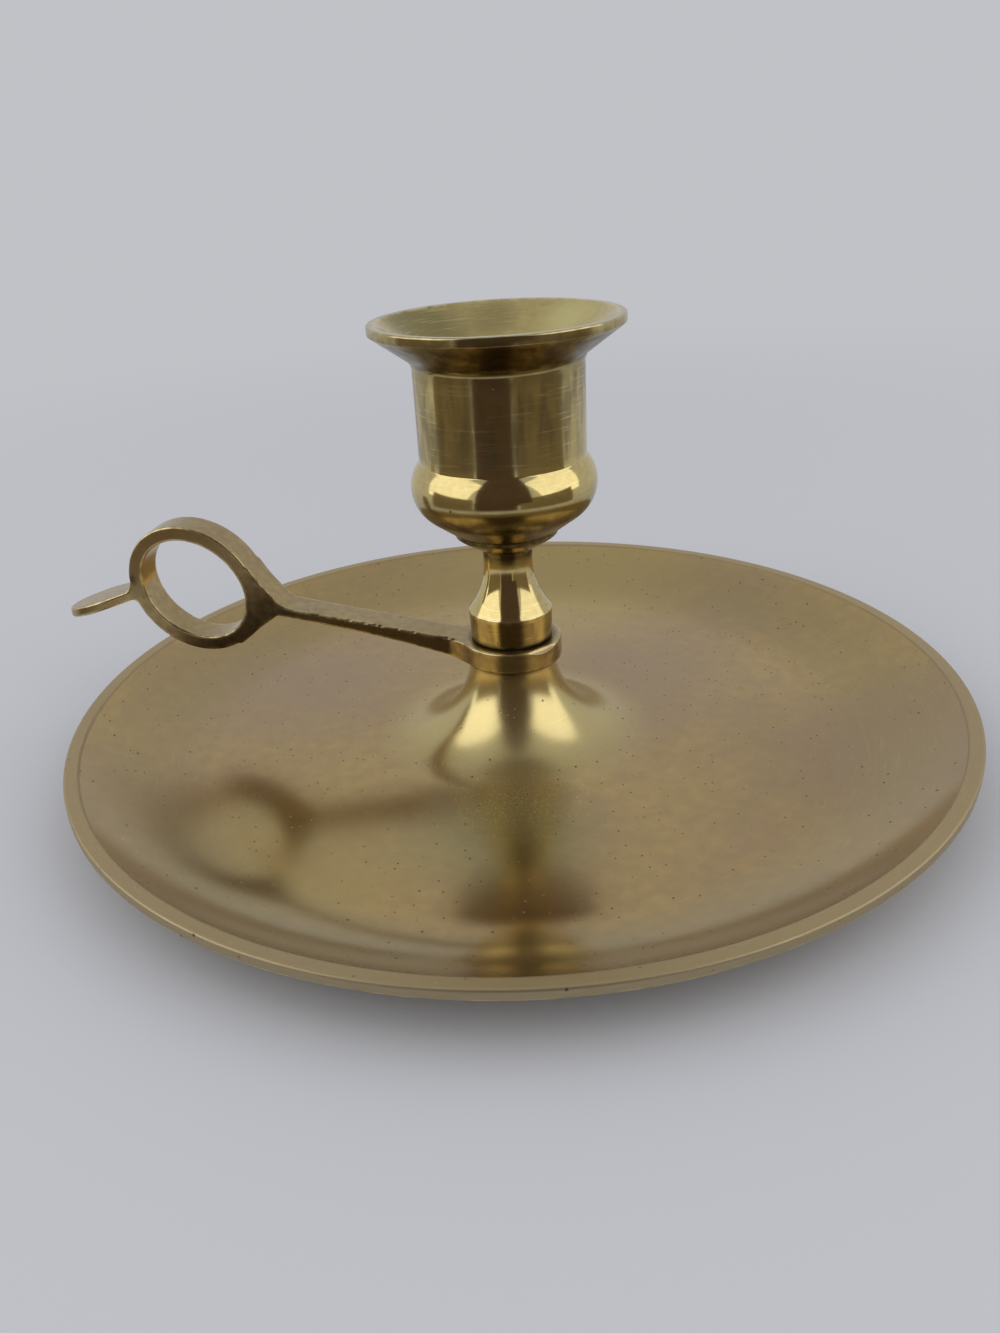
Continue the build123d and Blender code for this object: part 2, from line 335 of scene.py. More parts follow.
def noise(tree, place, scale, detail, seed=None, distortion=0.0):
    """The value of one noise texture."""
    feeds = {"Vector": place, "Scale": scale, "Detail": detail, "Distortion": distortion}
    if seed is None:
        return add(tree, "ShaderNodeTexNoise", feeds).outputs[0]
    feeds["W"] = seed
    return add(tree, "ShaderNodeTexNoise", feeds, noise_dimensions="4D").outputs[0]


def spread(tree, value, low, high, to_low=0.0, to_high=1.0, **facts):
    """A value between two limits spread over a new range, and held inside it."""
    feeds = {"Value": value, "From Min": low, "From Max": high, "To Min": to_low, "To Max": to_high}
    return add(tree, "ShaderNodeMapRange", feeds, clamp=True, **facts).outputs[0]


def mixed(tree, share, a, b):
    """One colour laid over another."""
    node = add(tree, "ShaderNodeMix", data_type="RGBA")
    for socket, value in zip((node.inputs[0], node.inputs[6], node.inputs[7]), (share, a, b)):
        if isinstance(value, bpy.types.NodeSocket):
            tree.links.new(value, socket)
        else:
            socket.default_value = (*value, 1.0)
    return node.outputs[2]


def new_tree(name, kind, ins, outs, makes="Float"):
    """An empty node group and the sockets at its two ends; an input is given by a number or a kind."""
    tree = bpy.data.node_groups.new(name, kind)
    for label, given in ins.items():
        a_number = isinstance(given, float)
        socket_type = "NodeSocket" + ("Float" if a_number else given)
        socket = tree.interface.new_socket(label, in_out="INPUT", socket_type=socket_type)
        if a_number:
            socket.default_value = given
    for label in outs:
        tree.interface.new_socket(label, in_out="OUTPUT", socket_type="NodeSocket" + makes)
    return tree, add(tree, "NodeGroupInput").outputs, add(tree, "NodeGroupOutput").inputs


def ended(tree, result, **values):
    """The node group with its outputs fed."""
    for label, value in values.items():
        tree.links.new(value, result[label])
    return tree


def once(kept, name, maker):
    """A node group or a finish that is made on its first use and shared after that."""
    return kept.get(name) or maker(name)


def group(tree, name, maker, feeds):
    """The outputs of a shared node group, placed in a material and fed with its own values."""
    made = once(bpy.data.node_groups, name, maker)
    return add(tree, "ShaderNodeGroup", feeds, node_tree=made).outputs


def spinning_tree(name):
    """Turns an outline about the Z axis, dents its worn edges and cuts a thread."""
    ins = {
        "Outline": "Geometry",
        "Steps Round": "Int",
        "Spindle": 0.01,
        "Dent Depth": 0.0,
        "Dent Scale": 90.0,
        "Seed": 1.0,
        "Thread Pitch": 0.001,
        "Thread Depth": 0.0,
        "Finish": "Material",
    }
    tree, given, result = new_tree(name, "GeometryNodeTree", ins, ["Piece"], "Geometry")

    def node(kind, feeds=(), **facts):
        return add(tree, kind, feeds, **facts).outputs[0]

    line = node("GeometryNodeMeshToCurve", {"Mesh": given["Outline"]})
    upright = node("GeometryNodeTransform", {"Geometry": line, "Rotation": (math.pi / 2, 0, 0)})
    inward = node("ShaderNodeCombineXYZ", {"X": sums(tree, "MULTIPLY", given["Spindle"], -1.0)})
    offset = node("GeometryNodeTransform", {"Geometry": upright, "Translation": inward})
    feeds = {"Resolution": given["Steps Round"], "Radius": given["Spindle"]}
    circle = node("GeometryNodeCurvePrimitiveCircle", feeds)
    turned = node("GeometryNodeCurveToMesh", {"Curve": circle, "Profile Curve": offset})
    closed = node("GeometryNodeMergeByDistance", {"Geometry": turned, "Distance": SAME_PLACE})

    place = node("GeometryNodeInputPosition")
    edge = node("GeometryNodeInputNamedAttribute", {"Name": "edge"}, data_type="FLOAT")
    hollow = spread(tree, noise(tree, place, given["Dent Scale"], 3.0, given["Seed"]), 0.5, 0.78)
    depth = sums(tree, "MULTIPLY", sums(tree, "MULTIPLY", hollow, edge), given["Dent Depth"])
    feeds = {0: node("GeometryNodeInputNormal"), "Scale": sums(tree, "MULTIPLY", depth, -1.0)}
    dent = vectors(tree, "SCALE", feeds)
    dented = node("GeometryNodeSetPosition", {"Geometry": closed, "Offset": dent})

    split = add(tree, "ShaderNodeSeparateXYZ", {0: place}).outputs
    turn = sums(tree, "DIVIDE", sums(tree, "ARCTAN2", split["Y"], split["X"]), math.tau)
    climb = sums(tree, "DIVIDE", split["Z"], given["Thread Pitch"])
    phase = sums(tree, "FRACT", sums(tree, "SUBTRACT", climb, turn))
    groove = sums(tree, "ABSOLUTE", sums(tree, "MULTIPLY_ADD", phase, 2.0, -1.0))
    level = node("ShaderNodeCombineXYZ", {"X": split["X"], "Y": split["Y"]})
    outward = vectors(tree, "NORMALIZE", {0: level})
    depth = sums(tree, "MULTIPLY", sums(tree, "MULTIPLY", groove, given["Thread Depth"]), -1.0)
    cut = vectors(tree, "SCALE", {0: outward, "Scale": depth})
    threaded = node("GeometryNodeSetPosition", {"Geometry": dented, "Offset": cut})

    smooth = node("GeometryNodeSetShadeSmooth", {"Geometry": threaded})
    real = node("GeometryNodeRealizeInstances", {"Geometry": smooth})
    clad = node("GeometryNodeSetMaterial", {"Geometry": real, "Material": given["Finish"]})
    return ended(tree, result, Piece=clad)


# Meshes


def finished(node, mesh, finish):
    """Links a finished mesh as the piece that stands for a CAD node."""
    mesh.name = node + "_metal"
    piece = bpy.data.objects.new(mesh.name, mesh)
    bpy.context.collection.objects.link(piece)
    if not mesh.materials:
        mesh.materials.append(finish)
    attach(piece, BODY)
    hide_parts(node)


def outline_mesh(outline, closed, **marks):
    """An outline as a line of edges, its worn stretches and its stretches of grime or painted shade marked
    by the way along it.
    """
    mesh = bpy.data.meshes.new("outline")
    links = [(i, i + 1) for i in range(len(outline) - 1)]
    if closed:
        links.append((len(outline) - 1, 0))
    mesh.from_pydata([(x, 0, z) for x, z in outline], links, [])
    walk = [0.0]
    for here, there in zip(outline, outline[1:]):
        walk.append(walk[-1] + math.dist(here, there))
    for name, places in marks.items():
        marked = mesh.attributes.new(name, "FLOAT", "POINT")
        nearest = [min(range(len(outline)), key=lambda i: math.dist(outline[i], at)) for at, _ in places]
        starts = [walk[index] for index in nearest]
        for index, gone in enumerate(walk):
            near = [1 - abs(gone - start) / reach for start, (_, reach) in zip(starts, places)]
            marked.data[index].value = max([0.0] + near)
    return mesh


def spun(node, slot, outline, finish, closed=False, edges=(), grime=(), **inputs):
    """A turned piece: an outline spun about the Z axis."""
    following = outline[1:] + outline[:1]
    if sum(a[0] * b[1] - b[0] * a[1] for a, b in zip(outline, following)) > 0:
        outline = outline[::-1]
    mesh = outline_mesh(outline, closed, edge=edges, grime=grime)
    blank = bpy.data.objects.new("outline", mesh)
    bpy.context.collection.objects.link(blank)
    spinner = blank.modifiers.new("Spin", "NODES")
    spinner.node_group = once(bpy.data.node_groups, "Spin an outline", spinning_tree)
    given = dict(inputs, Finish=finish)
    for item in spinner.node_group.interface.items_tree:
        key = item.name.replace(" ", "_")
        if item.in_out == "INPUT" and key in given:
            spinner[item.identifier] = given[key]
    depsgraph = bpy.context.evaluated_depsgraph_get()
    turned = bpy.data.meshes.new_from_object(blank.evaluated_get(depsgraph))
    blank.modifiers.remove(spinner)
    bpy.data.objects.remove(blank)
    bpy.data.meshes.remove(mesh)
    return finished(node, turned, finish)


def signed_volume(mesh):
    """Volume inside a closed mesh, below zero where its faces point inward."""
    mesh.calc_loop_triangles()
    places = np.empty(len(mesh.vertices) * 3)
    mesh.vertices.foreach_get("co", places)
    corners = np.empty(len(mesh.loop_triangles) * 3, dtype=np.int32)
    mesh.loop_triangles.foreach_get("vertices", corners)
    a, b, c = places.reshape(-1, 3)[corners.reshape(-1, 3)].transpose(1, 0, 2)
    return float(np.einsum("ij,ij->", a, np.cross(b, c))) / 6


# Fields of distances: below zero inside the metal, above zero outside


def outline_distance(x, z, outline):
    """Distance from each place to a closed outline, below zero inside it."""
    nearest = np.full(x.shape, np.inf)
    inside = np.zeros(x.shape, dtype=bool)
    for (x0, z0), (x1, z1) in zip(outline, outline[1:] + outline[:1]):
        along_x, along_z = x1 - x0, z1 - z0
        squared = along_x**2 + along_z**2
        if squared == 0:
            continue
        share = np.clip(((x - x0) * along_x + (z - z0) * along_z) / squared, 0, 1)
        nearest = np.minimum(nearest, (x - x0 - share * along_x) ** 2 + (z - z0 - share * along_z) ** 2)
        if z0 != z1:
            inside ^= ((z0 > z) != (z1 > z)) & (x < x0 + (z - z0) / along_z * along_x)
    return np.where(inside, -1, 1) * np.sqrt(nearest)


class Chart:
    """An outline's distances, sampled once on a fine grid and read in between."""

    def __init__(self, outline, low, high, step):
        self.low, self.step = low, step
        counts = [int(math.ceil((high[i] - low[i]) / step)) + 2 for i in (0, 1)]
        across, up = [low[i] + step * np.arange(counts[i]) for i in (0, 1)]
        self.values = outline_distance(across[:, None] + 0 * up, up + 0 * across[:, None], outline)

    def __call__(self, x, z):
        u, v = (x - self.low[0]) / self.step, (z - self.low[1]) / self.step
        i = np.clip(u.astype(int), 0, self.values.shape[0] - 2)
        j = np.clip(v.astype(int), 0, self.values.shape[1] - 2)
        u, v = u - i, v - j
        here, over = self.values[i, j], self.values[i + 1, j]
        up, both = self.values[i, j + 1], self.values[i + 1, j + 1]
        return (here * (1 - u) + over * u) * (1 - v) + (up * (1 - u) + both * u) * v


def oval_distance(x, z, long, short, tilt):
    """Distance to a tilted oval, exact on the oval itself."""
    u = x * math.cos(tilt) + z * math.sin(tilt)
    v = z * math.cos(tilt) - x * math.sin(tilt)
    near = np.hypot(u / long, v / short)
    return near * (near - 1) / np.maximum(np.hypot(u / long**2, v / short**2), 1e-9)


def joined(a, b, radius):
    """Both shapes together, with a fillet where they meet."""
    fillet = np.hypot(np.maximum(radius - a, 0), np.maximum(radius - b, 0))
    return np.maximum(radius, np.minimum(a, b)) - fillet


def shared(a, b, radius):
    """What two shapes have in common, with its edges rounded."""
    a, b = a + radius, b + radius
    return np.hypot(np.maximum(a, 0), np.maximum(b, 0)) + np.minimum(np.maximum(a, b), 0) - radius


CUBE_CORNERS = [(i, j, k) for i in (0, 1) for j in (0, 1) for k in (0, 1)]
CUBE_EDGES = [(a, b) for a in range(8) for b in range(8) if b - a in (1, 2, 4) and not a & (b - a)]


def crossed_cells(inside):
    """The cells of a grid that a surface crosses, and a number for each of them."""
    cells = tuple(n - 1 for n in inside.shape)
    count = np.zeros(cells, dtype=np.uint8)
    for i, j, k in CUBE_CORNERS:
        count += inside[i:i + cells[0], j:j + cells[1], k:k + cells[2]]
    crossed = np.argwhere((count > 0) & (count < 8))
    number = np.full(cells, -1)
    number[tuple(crossed.T)] = np.arange(len(crossed))
    return crossed, number


def crossing_places(values, crossed):
    """For each crossed cell, the mean of the places where the surface cuts its edges, in cells."""
    at_corner = [values[tuple((crossed + corner).T)] for corner in CUBE_CORNERS]
    total, hits = np.zeros(crossed.shape), np.zeros(len(crossed))
    for a, b in CUBE_EDGES:
        cuts = (at_corner[a] < 0) != (at_corner[b] < 0)
        span = np.where(cuts, at_corner[a] - at_corner[b], 1)
        share = np.where(cuts, at_corner[a] / span, 0)[:, None]
        start, end = np.array(CUBE_CORNERS[a]), np.array(CUBE_CORNERS[b])
        total += cuts[:, None] * (start + share * (end - start))
        hits += cuts
    return crossed + total / hits[:, None]


def skin_faces(inside, number):
    """Four-sided faces, one round each grid line that the surface cuts, all facing outward."""
    quads = []
    for axis in range(3):
        second, third = (axis + 1) % 3, (axis + 2) % 3
        u, v = np.eye(3, dtype=int)[second], np.eye(3, dtype=int)[third]
        at = np.argwhere(inside != np.roll(inside, -1, axis=axis))
        at = at[(at[:, axis] < number.shape[axis]) & (at[:, second] > 0) & (at[:, third] > 0)]
        corners = [number[tuple((at - u * a - v * b).T)] for a, b in ((0, 0), (1, 0), (1, 1), (0, 1))]
        ring = np.stack(corners, axis=-1)
        outward = inside[tuple(at.T)]
        ring[~outward] = ring[~outward, ::-1]
        quads.append(ring)
    return np.concatenate(quads).tolist()


def skin(rough, fine, low, high, cell):
    """Mesh of a surface: a point in each cell where `rough` crosses zero, moved to where `fine` does."""
    counts = [int(math.ceil((high[i] - low[i]) / cell)) + 2 for i in range(3)]
    axes = [low[i] + cell * (np.arange(counts[i]) - 0.5) for i in range(3)]
    values = rough(axes[0][:, None, None], axes[1][None, :, None], axes[2][None, None, :])
    crossed, number = crossed_cells(values < 0)
    places = np.array([axis[0] for axis in axes]) + cell * crossing_places(values, crossed)

    nudge, least_slope = cell * 0.02, 0.25
    for _ in range(4):
        gap = fine(*places.T)
        slope = np.stack([(fine(*(places + nudge * unit).T) - gap) / nudge for unit in np.eye(3)], axis=-1)
        places -= (gap / np.maximum((slope**2).sum(axis=-1), least_slope))[:, None] * slope

    mesh = bpy.data.meshes.new("skin")
    mesh.from_pydata(places.tolist(), [], skin_faces(values < 0, number))
    mesh.shade_smooth()
    if signed_volume(mesh) < 0:
        mesh.flip_normals()
    return mesh, places


def mark(mesh, name, values):
    """Keeps a value from 0 to 1 for each point of a skin, for its finish."""
    mesh.attributes.new(name, "FLOAT", "POINT").data.foreach_set("value", np.clip(values, 0, 1))


# Finishes


def tarnish_group(name):
    """Soft patches of tarnish in two sizes, and fine mottling."""
    ins = {"Vector": "Vector", "Patch Scale": 30.0, "Mottle Scale": 400.0, "Mottle Share": 0.3, "Seed": 1.0}
    tree, given, result = new_tree(name, "ShaderNodeTree", ins, ["Patches", "Mottle"])
    patches = noise(tree, given["Vector"], given["Patch Scale"], 5.0, given["Seed"], 0.4)
    mottle = noise(tree, given["Vector"], given["Mottle Scale"], 4.0, given["Seed"])
    feeds = {"Factor": given["Mottle Share"], "A": patches, "B": mottle}
    blend = add(tree, "ShaderNodeMix", feeds, data_type="FLOAT").outputs[0]
    return ended(tree, result, Patches=spread(tree, blend, 0.38, 0.62), Mottle=mottle)


def stain_group(name):
    """One soft patch round a place, with a ragged edge."""
    ins = {"Vector": "Vector", "Place": "Vector", "Reach": 0.02, "Ragged": 0.5}
    tree, given, result = new_tree(name, "ShaderNodeTree", ins, ["Stain"])
    away = vectors(tree, "DISTANCE", {0: given["Vector"], 1: given["Place"]}, "Value")
    share = sums(tree, "DIVIDE", away, given["Reach"])
    torn = sums(tree, "SUBTRACT", noise(tree, given["Vector"], 110.0, 4.0), 0.5)
    share = sums(tree, "MULTIPLY_ADD", torn, given["Ragged"], share)
    return ended(tree, result, Stain=spread(tree, share, 1.0, 0.2, interpolation_type="SMOOTHSTEP"))


def pits_group(name):
    """Small scattered dark pits and bright flecks."""
    ins = {"Vector": "Vector", "Scale": 700.0, "Size": 0.2, "Density": 0.5, "Fleck Density": 0.0012}
    tree, given, result = new_tree(name, "ShaderNodeTree", ins, ["Pits", "Flecks"])
    feeds = {"Vector": given["Vector"], "Scale": given["Scale"]}
    spots = add(tree, "ShaderNodeTexVoronoi", feeds, feature="F1").outputs
    draw = add(tree, "ShaderNodeSeparateColor", {0: spots["Color"]}).outputs
    size = sums(tree, "MULTIPLY", given["Size"], sums(tree, "MULTIPLY_ADD", draw[2], 0.8, 0.4))
    near = sums(tree, "POWER", spread(tree, spots["Distance"], size, 0.0), 0.6)
    pits = sums(tree, "MULTIPLY", near, sums(tree, "LESS_THAN", draw[0], given["Density"]))
    flecks = sums(tree, "MULTIPLY", near, sums(tree, "LESS_THAN", draw[1], given["Fleck Density"]))
    return ended(tree, result, Pits=pits, Flecks=flecks)


def turning_group(name):
    """Fine rings and short scratches from the lathe, and the radius that they follow."""
    ins = {"Vector": "Vector", "Line Scale": 4000.0, "Scratch Length": 0.005, "Scratch Width": 0.00026}
    outs = ["Lines", "Scratches", "Radius", "Height"]
    tree, given, result = new_tree(name, "ShaderNodeTree", ins, outs)
    split = add(tree, "ShaderNodeSeparateXYZ", {0: given["Vector"]}).outputs
    level = add(tree, "ShaderNodeCombineXYZ", {"X": split["X"], "Y": split["Y"]}).outputs[0]
    radius = vectors(tree, "LENGTH", {0: level}, "Value")
    turn = sums(tree, "ARCTAN2", split["Y"], split["X"])
    around = sums(tree, "MULTIPLY", turn, 0.0006)
    flat = add(tree, "ShaderNodeCombineXYZ", {"X": radius, "Y": split["Z"], "Z": around}).outputs[0]
    lines = noise(tree, flat, given["Line Scale"], 3.0)
    along = sums(tree, "DIVIDE", sums(tree, "MULTIPLY", turn, radius), given["Scratch Length"])
    up = sums(tree, "DIVIDE", split["Z"], given["Scratch Width"])
    out = sums(tree, "DIVIDE", radius, given["Scratch Width"])
    laid = add(tree, "ShaderNodeCombineXYZ", {"X": along, "Y": up, "Z": out}).outputs[0]
    scratches = spread(tree, noise(tree, laid, 1.0, 2.0), 0.57, 0.7)
    return ended(tree, result, Lines=lines, Scratches=scratches, Radius=radius, Height=split["Z"])


def wear_group(name):
    """Edges rubbed bright, and corners left grimy or darkened with painted shade, both broken up by grain.
    """
    ins = {"Vector": "Vector", "Scale": 600.0}
    tree, given, result = new_tree(name, "ShaderNodeTree", ins, ["Wear", "Grime"])
    grain = noise(tree, given["Vector"], given["Scale"], 3.0)
    edge = add(tree, "ShaderNodeAttribute", attribute_name="edge").outputs["Fac"]
    wear = sums(tree, "MULTIPLY", edge, spread(tree, grain, 0.35, 0.6))
    # This mark holds dirt in the joints and painted shade under the cup's lip, flare and bowl
    dirt = add(tree, "ShaderNodeAttribute", attribute_name="grime").outputs["Fac"]
    thick = spread(tree, dirt, 0.0, 0.6)
    grime = sums(tree, "MULTIPLY", thick, spread(tree, grain, 0.75, 0.4, 0.7, 1.0))
    return ended(tree, result, Wear=wear, Grime=grime)


def zone_group(name):
    """1 between two radii or two heights, with soft sides."""
    ins = {"Measure": 0.0, "Start": 0.0, "End": 0.02, "Softness": 0.001}
    tree, given, result = new_tree(name, "ShaderNodeTree", ins, ["Zone"])
    sides = []
    for side, sign in (("Start", 1.0), ("End", -1.0)):
        past = sums(tree, "SUBTRACT", given["Measure"], given[side])
        share = sums(tree, "DIVIDE", sums(tree, "MULTIPLY", past, sign), given["Softness"])
        sides.append(spread(tree, share, -1.0, 1.0))
    return ended(tree, result, Zone=sums(tree, "MULTIPLY", *sides))


def streak_group(name):
    """Soft streaks that run down an upright wall."""
    ins = {"Vector": "Vector", "Scale": 420.0, "Stretch": 0.22}
    tree, given, result = new_tree(name, "ShaderNodeTree", ins, ["Streaks"])
    drawn = add(tree, "ShaderNodeCombineXYZ", {"X": 1.0, "Y": 1.0, "Z": given["Stretch"]}).outputs[0]
    drawn = vectors(tree, "MULTIPLY", {0: given["Vector"], 1: drawn})
    fine = noise(tree, drawn, given["Scale"], 4.0, 3.0, 0.3)
    return ended(tree, result, Streaks=spread(tree, fine, 0.42, 0.6))


def sparkle_group(name):
    """Fine bright grain round a place, thinning out away from it, and a haze under it."""
    ins = {"Vector": "Vector", "Place": "Vector", "Reach": 0.014, "Grain Scale": 3600.0}
    tree, given, result = new_tree(name, "ShaderNodeTree", ins, ["Sparkle", "Haze"])
    away = vectors(tree, "DISTANCE", {0: given["Vector"], 1: given["Place"]}, "Value")
    share = sums(tree, "DIVIDE", away, given["Reach"])
    grain = noise(tree, given["Vector"], given["Grain Scale"], 2.0)
    needed = spread(tree, share, 0.0, 1.0, 0.52, 0.7)
    bright = sums(tree, "MULTIPLY", sums(tree, "SUBTRACT", grain, needed), 9.0)
    haze = spread(tree, share, 1.0, 0.2)
    return ended(tree, result, Sparkle=spread(tree, bright, 0.0, 1.0), Haze=haze)


def metal(name):
    """A new metal material, its tree, its shader and its Object coordinates."""
    made = bpy.data.materials.new(name)
    made.use_nodes = True
    tree = made.node_tree
    shader = tree.nodes["Principled BSDF"]
    shader.inputs["Metallic"].default_value = 1.0
    place = add(tree, "ShaderNodeTexCoord").outputs["Object"]
    return made, tree, shader, place


def bumped(tree, shader, height, strength, distance):
    """Feeds a height to the shader's normal."""
    bump = add(tree, "ShaderNodeBump", {"Height": height, "Strength": strength, "Distance": distance})
    tree.links.new(bump.outputs[0], shader.inputs["Normal"])


class Brass:
    """An aged brass in the making: tarnished metal that gets its marks layer by layer."""

    def __init__(self, name, tones, tarnish, patch_scale, mottle_scale, seed, roughness):
        self.made, self.tree, self.shader, self.place = metal(name)
        self.tones = settings().colours
        clean, olive, mauve = tones
        feeds = {"Patch Scale": patch_scale, "Mottle Scale": mottle_scale, "Seed": seed}
        patches, self.mottle = self.group("Tarnish patches", tarnish_group, **feeds)
        self.lines, self.scratches, self.radius, self.height = self.group("Turning lines", turning_group)
        speckled = spread(self.tree, self.mottle, 0.35, 0.65, 0.0, tarnish)
        self.colour = mixed(self.tree, speckled, clean, olive)
        self.rough = spread(self.tree, patches, 0.0, 1.0, *roughness)
        self.coat(patches, mauve, tarnish)

    def group(self, name, maker, **feeds):
        """The outputs of a shared node group on this metal."""
        return group(self.tree, name, maker, {"Vector": self.place, **feeds})

    def coat(self, mask, tone, strength=1.0, rougher=0.0):
        """Lays a colour, and more roughness, where a mask is 1."""
        share = sums(self.tree, "MULTIPLY", mask, strength)
        self.colour = mixed(self.tree, share, self.colour, tone)
        self.rough = sums(self.tree, "MULTIPLY_ADD", mask, rougher, self.rough)

    def stain(self, place, reach, tone, strength, least_radius=0):
        """A soft stain round a place in millimetres, kept outside a radius."""
        feeds = {"Place": [c * MM for c in place], "Reach": reach * MM}
        mask = self.group("Soft stain", stain_group, **feeds)[0]
        if least_radius:
            fade = 4 * MM
            outside = spread(self.tree, self.radius, least_radius * MM - fade, least_radius * MM + fade)
            mask = sums(self.tree, "MULTIPLY", mask, outside)
        self.coat(mask, tone, strength)

    def zone(self, measure, start, end, softness, tone, strength, rougher=0.0):
        """A tone, in a zone between two radii or two heights in millimetres."""
        feeds = {"Measure": measure, "Start": start * MM, "End": end * MM, "Softness": softness * MM}
        mask = group(self.tree, "Ring zone", zone_group, feeds)[0]
        self.coat(mask, tone, strength, rougher)
        return mask

    def sparkle(self, place, reach):
        """Bright grain and a haze round a place in millimetres."""
        feeds = {"Place": [c * MM for c in place], "Reach": reach * MM}
        mask, haze = self.group("Sparkle", sparkle_group, **feeds)
        self.coat(mask, self.tones.bright, 0.8)
        self.rough = sums(self.tree, "MULTIPLY_ADD", haze, 0.16, self.rough)

    def worn(self, pit_scale, pit_density, scratched):
        """The finished metal, with its scratches, rubbed edges, dirt, painted shade and pits."""
        tree, tones = self.tree, self.tones
        feeds = {"Scale": pit_scale, "Density": pit_density}
        pits, flecks = self.group("Pits and flecks", pits_group, **feeds)
        wear, grime = self.group("Rubbed edges", wear_group)
        self.coat(self.scratches, tones.bright, scratched)
        self.coat(flecks, tones.bright)
        self.coat(wear, tones.bright)
        # Grime in the joints, and painted shade under the cup's lip, flare and bowl
        self.coat(grime, tones.grime, 0.92, 0.15)
        self.coat(pits, tones.pit, 1.0, 0.3)
        tree.links.new(self.colour, self.shader.inputs["Base Color"])
        tree.links.new(self.rough, self.shader.inputs["Roughness"])
        relief = sums(tree, "MULTIPLY", sums(tree, "SUBTRACT", self.lines, self.scratches), 0.02)
        relief = sums(tree, "MULTIPLY_ADD", pits, -1.0, relief)
        bumped(tree, self.shader, relief, 0.5, 0.00008)
        return self.made


def tray_brass(name):
    """Satin brass of the tray, mottled with tarnish and pitted, with a painted dark reflection on its front
    cove and painted shade on the rim's outer face.
    """
    tones = settings().colours
    brass = Brass(
        name,
        (tones.tray_clean, tones.tray_olive, tones.tray_mauve),
        tarnish=0.7,
        patch_scale=30.0,
        mottle_scale=400.0,
        seed=1.0,
        roughness=(0.17, 0.22),
    )
    reddish, brown, green = (0.42, 0.295, 0.18), (0.47, 0.34, 0.22), (0.40, 0.37, 0.17)
    gold, pale_gold, front_cove_dark_reflection = (0.56, 0.43, 0.165), (0.66, 0.50, 0.20), (0.34, 0.275, 0.16)
    brass.stain((62, -10, 2), 38, reddish, 0.75)
    brass.stain((18, 22, 2), 30, brown, 0.6)
    brass.stain((-44, 16, 2), 28, brown, 0.6)
    brass.stain((-30, -42, 3), 30, gold, 0.6)
    brass.stain((0, 66, 5), 44, pale_gold, 0.8)
    # Painted dark reflection over the front of the cove and the rim
    brass.stain((0, -74, 5), 78, front_cove_dark_reflection, 0.8, least_radius=60)
    brass.stain((3, -33, 2), 20, green, 0.65)

    rim, rim_line, rim_face_shade = (0.51, 0.395, 0.215), (0.22, 0.165, 0.10), (0.40, 0.33, 0.205)
    cove, cone = (0.45, 0.36, 0.18), (0.72, 0.60, 0.27)
    beyond = 80.0
    brass.zone(brass.radius, 58.0, 74.0, 4.0, cove, 0.35)
    brass.zone(brass.radius, 73.9, beyond, 0.35, rim, 0.8, 0.22)
    brass.zone(brass.radius, 73.7, 73.9, 0.1, rim_line, 0.4, 0.1)
    # Painted shade on the rim's outer face
    brass.zone(brass.radius, 75.98, beyond, 0.1, rim_face_shade, 0.8, 0.1)
    brass.zone(brass.radius, 0.0, 20.0, 5.0, cone, 0.75, 0.04)
    brass.sparkle((3.6, -23.0, 2.0), 18.0)
    return brass.worn(pit_scale=850.0, pit_density=0.22, scratched=0.1)


def turned_brass(name):
    """Polished brass of the knop and the cup, with painted shade and a painted highlight in the cup's
    funnel.
    """
    tones = settings().colours
    brass = Brass(
        name,
        (tones.clean, tones.olive, tones.mauve),
        tarnish=0.35,
        patch_scale=60.0,
        mottle_scale=900.0,
        seed=4.0,
        roughness=(0.08, 0.13),
    )
    # The funnel's stains paint its shading: the dark one painted shade at its left, the pale one a painted
    # highlight right of its middle, the olive one a darker spot
    dark, olive, pale = (0.32, 0.27, 0.11), (0.38, 0.30, 0.13), (0.88, 0.77, 0.34)
    brass.stain((-14, 8, 71), 13, dark, 0.9)
    brass.stain((-3, 15, 70), 6, olive, 0.7)
    brass.stain((9, 12, 71), 7, pale, 0.85)

    body, collar, streak = (0.50, 0.41, 0.18), (0.38, 0.32, 0.13), (0.24, 0.185, 0.09)
    flare = (KNOP_HIGH.z + settings().cup.flare_height) / MM
    body_height, collar_low = 13.5, KNOP_LOW.z / MM
    collar_high = collar_low + settings().knop.collar_height / MM
    for start, end, softness, tone, rougher in (
        (flare - body_height, flare, 0.6, body, 0.03),
        (collar_low, collar_high, 0.3, collar, 0.02),
    ):
        zone = brass.zone(brass.height, start, end, softness, tone, 0.6, rougher)
        streaky = sums(brass.tree, "MULTIPLY", zone, brass.group("Streaks", streak_group)[0])
        brass.coat(streaky, streak, 0.75, 0.1)
    return brass.worn(pit_scale=800.0, pit_density=0.03, scratched=0.45)


def handle_brass(name):
    """Worn cast brass of the handle, with painted shade on its side faces."""
    tones = settings().colours
    brass = Brass(
        name,
        (tones.cast_clean, tones.cast_olive, tones.cast_mauve),
        tarnish=0.5,
        patch_scale=90.0,
        mottle_scale=700.0,
        seed=7.0,
        roughness=(0.18, 0.26),
    )
    eye_middle, polished = KNOP_LOW.z / MM - 2, (0.76, 0.60, 0.28)
    brass.stain((0, -7, eye_middle), 9, polished, 1.0)
    # Painted shade on the side faces, most at the web, the ring's low side and near the eye
    side = add(brass.tree, "ShaderNodeAttribute", attribute_name="side").outputs["Fac"]
    painted_side_shade = sums(brass.tree, "MULTIPLY", side, spread(brass.tree, brass.mottle, 0.3, 0.7, 0.75, 1.0))
    brass.coat(painted_side_shade, tones.cast_side, 1.0, 0.12)
    return brass.worn(pit_scale=1100.0, pit_density=0.12, scratched=0.0)


